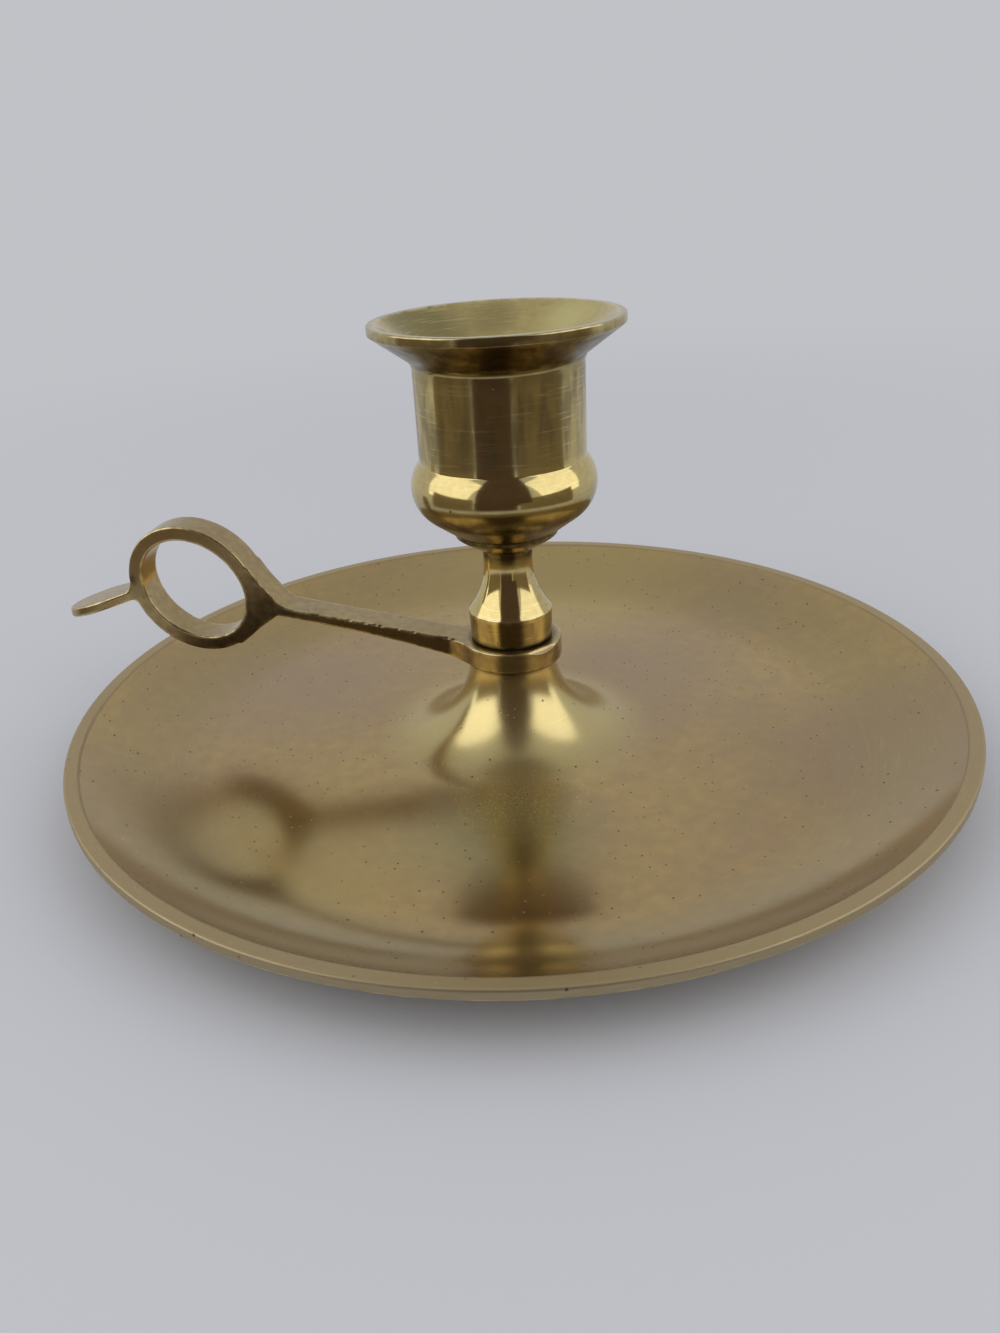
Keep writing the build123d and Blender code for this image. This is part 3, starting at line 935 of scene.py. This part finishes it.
def fixing_steel(name):
    """Dull steel of the stud, the washer and the nut."""
    tones = settings().colours
    made, tree, shader, place = metal(name)
    feeds = {"Vector": place, "Patch Scale": 300.0, "Mottle Scale": 2500.0, "Seed": 2.0}
    patches, mottle = group(tree, "Tarnish patches", tarnish_group, feeds)
    stained = mixed(tree, sums(tree, "MULTIPLY", patches, 0.5), tones.steel, tones.pit)
    tree.links.new(stained, shader.inputs["Base Color"])
    tree.links.new(spread(tree, mottle, 0.0, 1.0, 0.3, 0.55), shader.inputs["Roughness"])
    bumped(tree, shader, mottle, 0.3, 0.00005)
    return made


# Pieces


def plain_hole():
    """Radius of the plain holes that the stud passes."""
    return settings().fixings.stud_radius + settings().fixings.clearance


class CHAMBERSTICK_OT_drip_tray(bpy.types.Operator):
    """Add the dished drip tray with its cone"""

    bl_idname = "chamberstick.drip_tray"
    bl_label = "Drip tray"

    def execute(self, context):
        s = settings().tray
        top, rim_low, cone_top = s.rim_top, s.rim_top - s.rim_height, TRAY_HIGH.z
        lip, rim, foot = (s.radius - s.rim_width, top), (s.radius, top), (s.radius, rim_low)
        cove = swing_radius(lip[0] - s.floor_radius, top - s.wall)
        cove_centre = (s.floor_radius, s.wall + cove)
        cove_end = -math.acos((cove_centre[1] - top) / cove)
        under_cove = cove + s.wall
        under_end = math.acos((cove_centre[1] - rim_low) / under_cove)
        flare = swing_radius(s.cone_foot_radius - s.cone_top_radius, cone_top - s.wall)
        flare_centre = (s.cone_foot_radius, s.wall + flare)
        flare_end = math.acos((flare_centre[1] - cone_top) / flare)
        under_flare = flare + s.wall
        cone_low = cone_top - s.cone_top_wall
        hollow_end = math.acos((flare_centre[1] - cone_low) / under_flare)
        down = -math.pi / 2
        outline = path(
            [(plain_hole(), cone_top)],
            arc(flare_centre, flare, down - flare_end, down, 40),
            arc(cove_centre, cove, down, down - cove_end, 40),
            straight(lip, rim, 10),
            straight(rim, foot, 8),
            arc(cove_centre, under_cove, down + under_end, down, 30),
            arc(flare_centre, under_flare, down, down - hollow_end, 30),
            [(plain_hole(), cone_low)],
        )
        cone_edge = (s.cone_top_radius, cone_top)
        cone_round, lip_round, rim_round, foot_round = 0.3 * MM, 0.35 * MM, 0.45 * MM, 0.4 * MM
        corners = [(cone_edge, cone_round), (lip, lip_round), (rim, rim_round), (foot, foot_round)]
        foot_wear, joint_grime = 0.3 * MM, 1.2 * MM
        spun(
            "drip_tray",
            "tray_brass",
            rounded(outline, corners),
            once(bpy.data.materials, "Satin tray brass", tray_brass),
            closed=True,
            edges=[(foot, foot_wear)],
            grime=[(cone_edge, joint_grime)],
            Steps_Round=s.steps_round,
            Dent_Depth=s.dents,
        )
        return {"FINISHED"}


class Casting:
    """The cast handle: what its outline from the side and its outline from above have in common."""

    def __init__(self):
        s = self.sizes = settings().handle
        low, high = HANDLE_LOW, HANDLE_HIGH
        self.eye_low, self.eye_top = low.z, low.z + s.eye_thickness
        self.centre = (-s.ring_reach, self.eye_low + s.ring_rise)
        self.tilt = math.pi - s.ring_tilt
        self.slope = (self.centre[1] - s.arm_aim - self.eye_top) / (s.ring_reach - s.eye_radius)
        self.fall = math.tan(s.thumb_droop)
        self.root_top = self.centre[1] + s.ring_short * self.fall
        self.web_foot = (-s.arm_length, self.arm_top(s.arm_length) - s.arm_tip)
        self.hole = plain_hole()
        step, margin = 0.12 * MM, 2 * MM
        corner = (low.x - margin, low.z - margin)
        self.arm_chart = Chart(self.arm(), corner, (high.x + margin, high.z + margin), step)
        self.thumb_chart = Chart(self.thumb(), corner, (-s.ring_reach, high.z + margin), step)
        corner = (low.x - margin, low.y - margin)
        self.top_chart = Chart(self.from_above(), corner, (high.x + margin, high.y + margin), step)
        self.far = margin
        draws = np.random.default_rng(11)
        ripple_count, waviness, nick_count = 5, 420, 26
        self.ripples = [
            (draws.normal(size=3) * waviness, draws.uniform(0, math.tau)) for _ in range(ripple_count)
        ]
        self.nicks = [self.nick(draws) for _ in range(nick_count)]

    def arm_top(self, reach):
        """Height of the arm's straight top, at a distance from the axis."""
        return self.eye_top + self.slope * (reach - self.sizes.eye_radius)

    def on_ring(self, degrees):
        """Place on the ring's outer oval, at a bearing above level on the arm's side."""
        s, bearing = self.sizes, math.radians(degrees)
        turn = bearing - self.tilt
        reach = 1 / math.hypot(math.cos(turn) / s.ring_long, math.sin(turn) / s.ring_short)
        return (self.centre[0] + reach * math.cos(bearing), self.centre[1] + reach * math.sin(bearing))

    def arm(self):
        """The eye, the arm and its web, from the side."""
        s = self.sizes
        web_top, shoulder = (-s.web_reach, self.arm_top(s.web_reach)), (-s.eye_radius, self.eye_top)
        web_high, web_low = 18.5, -53
        outline = path(
            sagging(self.web_foot, (-s.eye_radius, self.eye_low), -s.arm_bow, 24),
            [(s.eye_radius, self.eye_low), (s.eye_radius, self.eye_top), shoulder],
            [web_top, self.on_ring(web_high), self.centre, self.on_ring(web_low)],
        )
        web_round, shoulder_round = 4 * MM, 9 * MM
        return rounded(outline, [(web_top, web_round), (shoulder, shoulder_round)], 10)

    def thumb(self):
        """The thumb rest, from the side."""
        s, tip, root = self.sizes, HANDLE_LOW.x, -self.sizes.ring_reach
        tip_top = self.root_top + (tip + s.ring_reach) * self.fall
        high, low = (tip, tip_top), (tip, tip_top - s.thumb_thickness)
        outline = [(root, self.root_top), high, low, (root, self.root_top - s.thumb_thickness)]
        tip_round = 0.85 * MM
        return rounded(outline, [(high, tip_round), (low, tip_round)])

    def from_above(self):
        """The arm, the ring and the leaf of the thumb rest, from above."""
        s = self.sizes
        half = s.width / 2
        widest, tip = (-s.thumb_widest, s.thumb_half_width), (HANDLE_LOW.x, 0)
        along, past = (-1, 0), (-1, 0.02)
        leaf = swept((-s.thumb_root, half), along, widest, past) + swept(widest, past, tip, (0, -1))
        upper = [(0, half)] + leaf
        return upper + [(x, -y) for x, y in reversed(upper)]

    def nick(self, draws):
        """One nick in an upper edge of the arm: its place and its size."""
        farthest, nearest, smallest, largest = -34 * MM, -9 * MM, 0.3, 0.8
        along = draws.uniform(farthest, nearest)
        half = self.sizes.width / 2
        across = draws.choice([-half, half])
        size = draws.uniform(smallest, largest) * MM
        above = size * draws.uniform(0.35, 0.8)
        return along, across, self.arm_top(-along) + above, size

    def side_distance(self, x, z):
        """Distance to the whole outline from the side."""
        s = self.sizes
        out, up = x - self.centre[0], z - self.centre[1]
        ring = oval_distance(out, up, s.ring_long, s.ring_short, self.tilt)
        hole = oval_distance(out, up, s.hole_long, s.hole_short, self.tilt)
        rest = np.where(x < -s.ring_reach, self.thumb_chart(np.minimum(x, -s.ring_reach), z), self.far)
        above = z > self.root_top + (x + s.ring_reach) * self.fall - s.thumb_thickness / 2
        over, under, by_arm = 1.8 * MM, 1.0 * MM, 1.2 * MM
        whole = joined(ring, rest, np.where(above, over, under))
        return np.maximum(joined(whole, self.arm_chart(x, z), by_arm), -hole)

    def top_distance(self, x, y):
        """Distance to the whole outline from above."""
        eye = np.hypot(x, y) - self.sizes.eye_radius
        return joined(eye, self.top_chart(x, y), self.sizes.eye_shoulder)

    def rough(self, x, y, z):
        """Distance to the plain casting."""
        metal = shared(self.side_distance(x, z), self.top_distance(x, y), self.sizes.edge_radius)
        return np.maximum(metal, self.hole - np.hypot(x, y))

    def fine(self, x, y, z):
        """Distance to the casting with its uneven skin, its filed corner and its nicks."""
        sway = sum(np.sin(k[0] * x + k[1] * y + k[2] * z + start) for k, start in self.ripples)
        uneven, filed_depth = 0.025 * MM, 0.55 * MM
        metal = self.rough(x, y, z) + uneven * (1 + sway / len(self.ripples))
        bearing, rise, radius = math.radians(-42), 0.75, self.sizes.eye_radius
        out = Vector((math.cos(bearing), math.sin(bearing), rise)).normalized()
        at = Vector((radius * math.cos(bearing), radius * math.sin(bearing), self.eye_top))
        cut = (x - at.x) * out.x + (y - at.y) * out.y + (z - at.z) * out.z + filed_depth
        metal = np.maximum(metal, cut)
        for nx, ny, nz, size in self.nicks:
            metal = np.maximum(metal, size - np.sqrt((x - nx) ** 2 + (y - ny) ** 2 + (z - nz) ** 2))
        return metal

    def painted_side_shade(self, x, y, z):
        """How much painted shade the side faces get: most at the web, at the ring's low side and near the
        eye.
        """
        web_reach, low_reach, low_shift = 9 * MM, 9 * MM, 3 * MM
        eye_start, eye_run, edge_width = 32 * MM, 12 * MM, 0.3 * MM
        upright = 0.5 + (self.top_distance(x, y) - self.side_distance(x, z)) / edge_width
        from_web = np.hypot(x - self.web_foot[0], z - self.web_foot[1]) / web_reach
        ring_low = (self.centre[0] + low_shift, self.centre[1] - self.sizes.ring_short)
        from_low = np.hypot(x - ring_low[0], z - ring_low[1]) / low_reach
        by_eye = np.clip((x + eye_start) / eye_run, 0, 1)
        side_shade = 0.2 + 0.8 * np.exp(-from_web**2) + 0.75 * np.exp(-from_low**2) + 0.45 * by_eye
        return np.clip(upright, 0, 1) * side_shade

    def dirt(self, x, y, z):
        """Dirt in the joints above and below the eye, and at the thumb rest's root."""
        s, out = self.sizes, np.hypot(x, y)
        joint_radius, joint_depth, foot_depth = 7.4 * MM, 0.6 * MM, 0.3 * MM
        to_joint = np.maximum(out - joint_radius, 0) + 2 * np.maximum(self.eye_top - joint_depth - z, 0)
        to_foot = np.maximum(out - s.eye_radius, 0) + 2 * np.maximum(z - self.eye_low - foot_depth, 0)
        past_ring, under_top = 0.6 * MM, 1.2 * MM
        root = (self.centre[0] - s.ring_short - past_ring, self.root_top - under_top)
        to_root = np.hypot(x - root[0], z - root[1])
        return np.maximum(0.35 - np.minimum(to_joint, to_foot) / MM, 0.8 - to_root / (2 * MM))


class CHAMBERSTICK_OT_handle(bpy.types.Operator):
    """Add the cast handle: eye, arm, finger ring and thumb rest"""

    bl_idname = "chamberstick.handle"
    bl_label = "Handle"

    def execute(self, context):
        casting, s = Casting(), settings().handle
        mesh, places = skin(casting.rough, casting.fine, HANDLE_LOW, HANDLE_HIGH, s.cell)
        x, y, z = places.T
        worn = 1 + (casting.side_distance(x, z) + casting.top_distance(x, y)) / (2 * s.edge_radius)
        mark(mesh, "edge", worn)
        # The side mark holds the painted shade of the side faces
        mark(mesh, "side", casting.painted_side_shade(x, y, z))
        mark(mesh, "grime", casting.dirt(x, y, z))
        finished("handle", mesh, once(bpy.data.materials, "Worn cast brass", handle_brass))
        return {"FINISHED"}


class CHAMBERSTICK_OT_stem_knop(bpy.types.Operator):
    """Add the turned knop between the handle and the cup"""

    bl_idname = "chamberstick.stem_knop"
    bl_label = "Stem knop"

    def execute(self, context):
        s = settings().knop
        low, high = KNOP_LOW.z, KNOP_HIGH.z
        foot, collar_top = (s.collar_foot, low), (s.collar_radius, low + s.collar_height)
        bell_top, neck_top = (s.neck_radius, collar_top[1] + s.bell_height), (s.neck_radius, high)
        outline = path(
            [(plain_hole(), low)],
            straight(foot, collar_top, 12),
            sagging(collar_top, bell_top, -s.bell_sag),
            sagging(bell_top, neck_top, -s.neck_sag),
            [(plain_hole(), high)],
        )
        foot_round, collar_round, bell_round, neck_round = 0.5 * MM, 0.3 * MM, 0.5 * MM, 0.15 * MM
        corners = [(foot, foot_round), (collar_top, collar_round)]
        corners += [(bell_top, bell_round), (neck_top, neck_round)]
        collar_wear, foot_grime, neck_grime = 0.6 * MM, 1.0 * MM, 2.2 * MM
        spun(
            "stem_knop",
            "turned_brass",
            rounded(outline, corners),
            once(bpy.data.materials, "Polished turned brass", turned_brass),
            closed=True,
            edges=[(collar_top, collar_wear)],
            grime=[(foot, foot_grime), (neck_top, neck_grime)],
            Steps_Round=s.steps_round,
            Dent_Depth=s.dents,
            Dent_Scale=300.0,
            Seed=2.0,
        )
        return {"FINISHED"}


class CHAMBERSTICK_OT_candle_cup(bpy.types.Operator):
    """Add the turned candle cup"""

    bl_idname = "chamberstick.candle_cup"
    bl_label = "Candle cup"

    def execute(self, context):
        s = settings().cup
        low, high = KNOP_HIGH.z, CUP_HIGH.z
        hole, neck = settings().fixings.stud_radius, (settings().knop.neck_radius, low)
        bulge = (s.bulge_radius - s.bulge_arc, low + s.bulge_height)
        bulge_end = math.acos((s.body_radius - bulge[0]) / s.bulge_arc)
        bowl_end = (
            bulge[0] + s.bulge_arc * math.cos(s.bowl_end),
            bulge[1] - s.bulge_arc * math.sin(s.bowl_end),
        )
        bowl_foot = (s.foot_radius, bowl_end[1] - (bowl_end[0] - s.foot_radius) / math.tan(s.bowl_end))
        foot_top = (s.foot_radius, low + s.foot_height)
        crease = (s.body_radius, bulge[1] + s.bulge_arc * math.sin(bulge_end))
        flare_start = (s.body_radius, low + s.flare_height)
        flare_centre = (s.body_radius + s.flare_arc, flare_start[1])
        flare_end = (
            s.body_radius + s.flare_arc * (1 - math.cos(s.flare_angle)),
            flare_start[1] + s.flare_arc * math.sin(s.flare_angle),
        )
        lip_low = (s.lip_radius, flare_end[1] + (s.lip_radius - flare_end[0]) / math.tan(s.flare_angle))
        lip_high, mouth = (s.lip_radius, high), (s.lip_radius - s.lip_top_width, high)
        funnel_foot = (s.bore_radius, high - (mouth[0] - s.bore_radius) / math.tan(s.funnel_angle))
        bore_foot = (s.bore_radius, low + s.bore_floor)
        outline = path(
            [(0, STUD_HIGH.z), (hole, STUD_HIGH.z), (hole, low)],
            sagging(neck, foot_top, s.foot_sag),
            straight(bowl_foot, bowl_end, 8),
            arc(bulge, s.bulge_arc, -s.bowl_end, bulge_end, 36),
            straight(crease, flare_start, 24),
            arc(flare_centre, s.flare_arc, math.pi, math.pi - s.flare_angle, 10),
            straight(flare_end, lip_low),
            straight(lip_high, mouth, 2),
            straight(mouth, funnel_foot),
            straight(funnel_foot, bore_foot),
            [(0, bore_foot[1])],
        )
        foot_round, crease_round, bore_round = 0.2 * MM, 0.35 * MM, 0.6 * MM
        lip_low_round, lip_high_round, mouth_round, funnel_round = 0.25 * MM, 0.3 * MM, 0.35 * MM, 0.4 * MM
        corners = [(foot_top, foot_round), (bowl_foot, foot_round), (crease, crease_round)]
        corners += [(lip_low, lip_low_round), (lip_high, lip_high_round), (mouth, mouth_round)]
        corners += [(funnel_foot, funnel_round), (bore_foot, bore_round)]
        worn, well_worn = 0.5 * MM, 0.6 * MM
        under_lip = tuple(Vector(flare_end).lerp(Vector(lip_low), 0.45))
        under_bowl = tuple(Vector(bowl_foot).lerp(Vector(bowl_end), 0.6))
        # Painted shade under the lip, at the flare and under the bowl; dirt in the joint at the neck; the
        # bore darker towards its floor
        lip_grime, flare_grime, bowl_grime = 6.5 * MM, 2 * MM, 9 * MM
        neck_grime, bore_grime = 3 * MM, 16 * MM
        grime = [(under_lip, lip_grime), (flare_end, flare_grime), (under_bowl, bowl_grime)]
        grime += [(neck, neck_grime), (bore_foot, bore_grime)]
        spun(
            "candle_cup",
            "turned_brass",
            rounded(outline, corners),
            once(bpy.data.materials, "Polished turned brass", turned_brass),
            edges=[(lip_low, worn), (lip_high, well_worn), (mouth, well_worn), (foot_top, worn)],
            grime=grime,
            Steps_Round=s.steps_round,
            Dent_Depth=s.dents,
            Dent_Scale=260.0,
            Seed=3.0,
        )
        return {"FINISHED"}


def stud(finish):
    """The threaded stud, with its ends chamfered."""
    s = settings().fixings
    low, high = STUD_LOW.z + s.stud_chamfer, STUD_HIGH.z - s.stud_chamfer
    rows_a_turn = 6
    rows = int((STUD_HIGH.z - STUD_LOW.z - 2 * s.stud_chamfer) / (s.pitch / rows_a_turn))
    side = [(s.stud_radius, low + (high - low) * row / rows) for row in range(rows + 1)]
    inner = s.stud_radius - s.stud_chamfer
    outline = [(0, STUD_LOW.z), (inner, STUD_LOW.z)] + side + [(inner, STUD_HIGH.z), (0, STUD_HIGH.z)]
    thread = {"Steps_Round": 48, "Thread_Pitch": s.pitch, "Thread_Depth": s.thread_depth}
    spun("tie_stud", "fastener_steel", outline, finish, **thread)


def washer(finish):
    """The flat washer."""
    hole, outer = plain_hole(), WASHER_HIGH.x
    low, high = WASHER_LOW.z, WASHER_HIGH.z
    outline = [(hole, (low + high) / 2), (hole, low), (outer, low), (outer, high), (hole, high)]
    edge_round = 0.15 * MM
    corners = [(corner, edge_round) for corner in ((outer, low), (outer, high), (hole, low))]
    spun("washer", "fastener_steel", rounded(outline, corners), finish, closed=True, Steps_Round=96)


def nut(finish):
    """The six-sided nut, chamfered below."""
    s = settings().fixings
    low, flat = NUT_LOW.z, NUT_HIGH.y
    middle, half = (NUT_LOW.z + NUT_HIGH.z) / 2, (NUT_HIGH.z - NUT_LOW.z) / 2
    edge_round, play, countersink, chamfer = 0.12 * MM, 0.05 * MM, 0.4 * MM, math.pi / 6

    def metal_at(x, y, z):
        """Distance to the nut's surface."""
        sides = [math.pi / 2 + math.pi / 3 * step for step in range(6)]
        prism = np.maximum.reduce([x * math.cos(b) + y * math.sin(b) - flat for b in sides])
        out = np.hypot(x, y)
        solid = shared(prism, np.abs(z - middle) - half, edge_round)
        turned = (out - flat) * math.tan(chamfer) - (z - low)
        solid = np.maximum(solid, turned * math.cos(chamfer))
        bore = np.maximum(s.stud_radius + play, s.stud_radius + countersink - (z - low))
        return np.maximum(solid, bore - out)

    mesh, places = skin(metal_at, metal_at, NUT_LOW, NUT_HIGH, s.nut_cell)
    mark(mesh, "edge", np.zeros(len(places)))
    finished("hex_nut", mesh, finish)


class CHAMBERSTICK_OT_fixings(bpy.types.Operator):
    """Add the threaded stud, the washer and the nut under the cone"""

    bl_idname = "chamberstick.fixings"
    bl_label = "Stud, washer and nut"

    def execute(self, context):
        steel = once(bpy.data.materials, "Dull steel", fixing_steel)
        stud(steel)
        washer(steel)
        nut(steel)
        return {"FINISHED"}


# Stage


def stage_place(turn, rise, reach):
    """Place at a bearing from the camera's side, to the right of it, and at an elevation, in degrees."""
    round_axis, up = math.radians(turn + CAMERA_BEARING), math.radians(rise)
    level = reach * math.cos(up)
    return Vector((level * math.cos(round_axis), level * math.sin(round_axis), reach * math.sin(up)))


def soft_box(name, turn, width, height, power):
    """A large soft lamp at a bearing, that points at the object."""
    rise, reach = 30, 0.7
    lamp = bpy.data.lights.new(name, "AREA")
    lamp.shape = "RECTANGLE"
    lamp.size, lamp.size_y = width, height
    lamp.energy = power
    box = bpy.data.objects.new(name, lamp)
    box.location = stage_place(turn, rise, reach)
    box.rotation_mode = "QUATERNION"
    box.rotation_quaternion = (-stage_place(turn, rise, reach)).to_track_quat("-Z", "Y")
    bpy.context.collection.objects.link(box)


def flag(name, profile, start, end, finish, steps=24):
    """A dark card, bent round the axis between two bearings, that only mirrors in the metal."""
    mesh = bpy.data.meshes.new(name)
    places = []
    for reach, rise in profile:
        for step in range(steps + 1):
            turn = start + (end - start) * step / steps
            places.append(stage_place(turn, 0, reach) + Vector((0, 0, rise)))
    row = steps + 1
    faces = [(i, i + 1, i + 1 + row, i + row) for i in range(len(places) - row) if (i + 1) % row]
    mesh.from_pydata(places, [], faces)
    mesh.materials.append(finish)
    card = bpy.data.objects.new(name, mesh)
    bpy.context.collection.objects.link(card)
    card.visible_camera = False
    card.visible_diffuse = False
    card.visible_shadow = False


def plain_card(name, tone):
    """Plain card in one tone, whatever light falls on it."""
    made = bpy.data.materials.new(name)
    made.use_nodes = True
    shader = made.node_tree.nodes["Principled BSDF"]
    shader.inputs["Base Color"].default_value = (0, 0, 0, 1)
    shader.inputs["Specular IOR Level"].default_value = 0.0
    shader.inputs["Emission Color"].default_value = (*tone, 1)
    shader.inputs["Emission Strength"].default_value = 1.0
    return made


def seen(tree):
    """1 for a ray from the camera or off metal, 0 for the light that falls on things."""
    ray = add(tree, "ShaderNodeLightPath").outputs
    seen_or_mirrored = sums(tree, "MAXIMUM", ray["Is Camera Ray"], ray["Is Glossy Ray"])
    return sums(tree, "MAXIMUM", seen_or_mirrored, ray["Is Transmission Ray"])


def pale_paper(tone):
    """Paper of the floor, which runs into the plain background away from the object."""
    made = bpy.data.materials.new("pale_paper")
    made.use_nodes = True
    tree = made.node_tree
    paper = tree.nodes["Principled BSDF"]
    paper.inputs["Roughness"].default_value = 0.85
    paper.inputs["Base Color"].default_value = (*tone, 1.0)
    plain = add(tree, "ShaderNodeEmission", {"Color": (*tone, 1.0), "Strength": 1.0})
    place = add(tree, "ShaderNodeTexCoord").outputs["Object"]
    away = vectors(tree, "LENGTH", {0: place}, "Value")
    fade = spread(tree, away, 0.12, 0.5, interpolation_type="SMOOTHSTEP")
    share = sums(tree, "MULTIPLY", fade, seen(tree))
    both = add(tree, "ShaderNodeMixShader", {0: share, 1: paper.outputs[0], 2: plain.outputs[0]})
    tree.links.new(both.outputs[0], tree.nodes["Material Output"].inputs["Surface"])
    return made


def pale_room(tone):
    """A plain surround, the paper's colour where it is seen and near white where it lights."""
    world = bpy.data.worlds.new("studio")
    world.use_nodes = True
    tree = world.node_tree
    toward = add(tree, "ShaderNodeTexCoord").outputs["Generated"]
    height = add(tree, "ShaderNodeSeparateXYZ", {0: toward}).outputs["Z"]
    ceiling = tuple(0.85 * c for c in tone)
    wall = mixed(tree, spread(tree, height, 0.35, 0.9), tone, ceiling)
    daylight = (0.74, 0.74, 0.76)
    surround = mixed(tree, seen(tree), daylight, wall)
    tree.links.new(surround, tree.nodes["Background"].inputs["Color"])
    return world


def photo_camera():
    """The camera, at the photograph's place, direction and angle of view."""
    camera = bpy.data.cameras.new("camera")
    picture_height, focal_pixels = 1333.0, 1082.0
    camera.sensor_width = 36.0
    camera.lens = focal_pixels / picture_height * camera.sensor_width
    camera.shift_x, camera.shift_y = 0.0147, 0.0013
    camera.clip_start, camera.clip_end = 0.01, 20.0
    eye = bpy.data.objects.new("camera", camera)
    place = Vector((28.1, -168.2, 96.2)) * MM
    yaw, pitch, roll = math.radians(11.431), math.radians(25.879), math.radians(-3.741)
    forward = Vector((0, math.cos(pitch), -math.sin(pitch)))
    upward = Vector((0, math.sin(pitch), math.cos(pitch)))
    right = Vector((1, 0, 0))
    across = math.cos(roll) * right + math.sin(roll) * upward
    upward = math.cos(roll) * upward - math.sin(roll) * right
    turned = Matrix.Rotation(yaw, 3, "Z")
    turn = Matrix([turned @ across, turned @ upward, turned @ -forward]).transposed()
    eye.matrix_world = Matrix.Translation(place) @ turn.to_4x4()
    bpy.context.collection.objects.link(eye)
    return eye


class CHAMBERSTICK_OT_stage(bpy.types.Operator):
    """Add the pale floor, the lights and the camera"""

    bl_idname = "chamberstick.stage"
    bl_label = "Stage"

    def execute(self, context):
        scene = context.scene
        paper = tuple(settings().colours.paper)
        mesh = bpy.data.meshes.new("floor")
        reach = 4.0
        corners = [(-reach, -reach, 0), (reach, -reach, 0), (reach, reach, 0), (-reach, reach, 0)]
        mesh.from_pydata(corners, [], [(0, 1, 2, 3)])
        mesh.materials.append(pale_paper(paper))
        floor = bpy.data.objects.new("floor", mesh)
        context.collection.objects.link(floor)

        scene.world = pale_room(paper)
        soft_box("left_lamp", -75, width=0.80, height=0.72, power=1.62)
        soft_box("right_lamp", 73, width=0.78, height=0.72, power=1.45)
        dark = plain_card("dark_card", (0.074, 0.052, 0.044))
        shade = plain_card("shade_card", (0.19, 0.155, 0.11))
        tall = [(0.30, 0.0), (0.30, 0.55), (0.10, 0.68)]
        apron, wall = [(0.125, 0.0005), (0.5, 0.05)], [(0.5, 0.05), (0.5, 0.11)]
        left, right = (-94, -38), (17, 86)
        flag("front_flag", tall, -35, 31, dark)
        flag("left_apron", apron, *left, shade)
        flag("front_apron", apron, -36, 14, dark)
        flag("right_apron", apron, *right, shade)
        flag("left_wall", wall, *left, shade)
        flag("right_wall", wall, *right, shade)
        scene.camera = photo_camera()
        scene.view_settings.view_transform = "Standard"
        return {"FINISHED"}


OPERATORS = (
    CHAMBERSTICK_OT_drip_tray,
    CHAMBERSTICK_OT_handle,
    CHAMBERSTICK_OT_stem_knop,
    CHAMBERSTICK_OT_candle_cup,
    CHAMBERSTICK_OT_fixings,
    CHAMBERSTICK_OT_stage,
)


class CHAMBERSTICK_PT_panel(bpy.types.Panel):
    """Buttons and sizes of the chamberstick"""

    bl_idname = "CHAMBERSTICK_PT_panel"
    bl_label = "Chamberstick"
    bl_space_type = "VIEW_3D"
    bl_region_type = "UI"
    bl_category = "Chamberstick"

    def draw(self, context):
        for operator in OPERATORS:
            self.layout.operator(operator.bl_idname)
        for part in ("tray", "handle", "knop", "cup", "fixings", "colours"):
            sizes = getattr(context.scene.chamberstick, part)
            box = self.layout.box()
            box.label(text=part.capitalize())
            for name in sizes.bl_rna.properties.keys():
                if name not in ("rna_type", "name"):
                    box.prop(sizes, name)


CLASSES = (
    TraySizes,
    HandleSizes,
    KnopSizes,
    CupSizes,
    FixingSizes,
    BrassColours,
    ChamberstickSettings,
    *OPERATORS,
    CHAMBERSTICK_PT_panel,
)


def register():
    for item in CLASSES:
        bpy.utils.register_class(item)
    bpy.types.Scene.chamberstick = PointerProperty(type=ChamberstickSettings)


def unregister():
    del bpy.types.Scene.chamberstick
    for item in reversed(CLASSES):
        bpy.utils.unregister_class(item)


def main():
    """Makes every piece and the stage."""
    register()
    bpy.ops.chamberstick.drip_tray()
    bpy.ops.chamberstick.handle()
    bpy.ops.chamberstick.stem_knop()
    bpy.ops.chamberstick.candle_cup()
    bpy.ops.chamberstick.fixings()
    bpy.ops.chamberstick.stage()


if __name__ == "__main__":
    main()
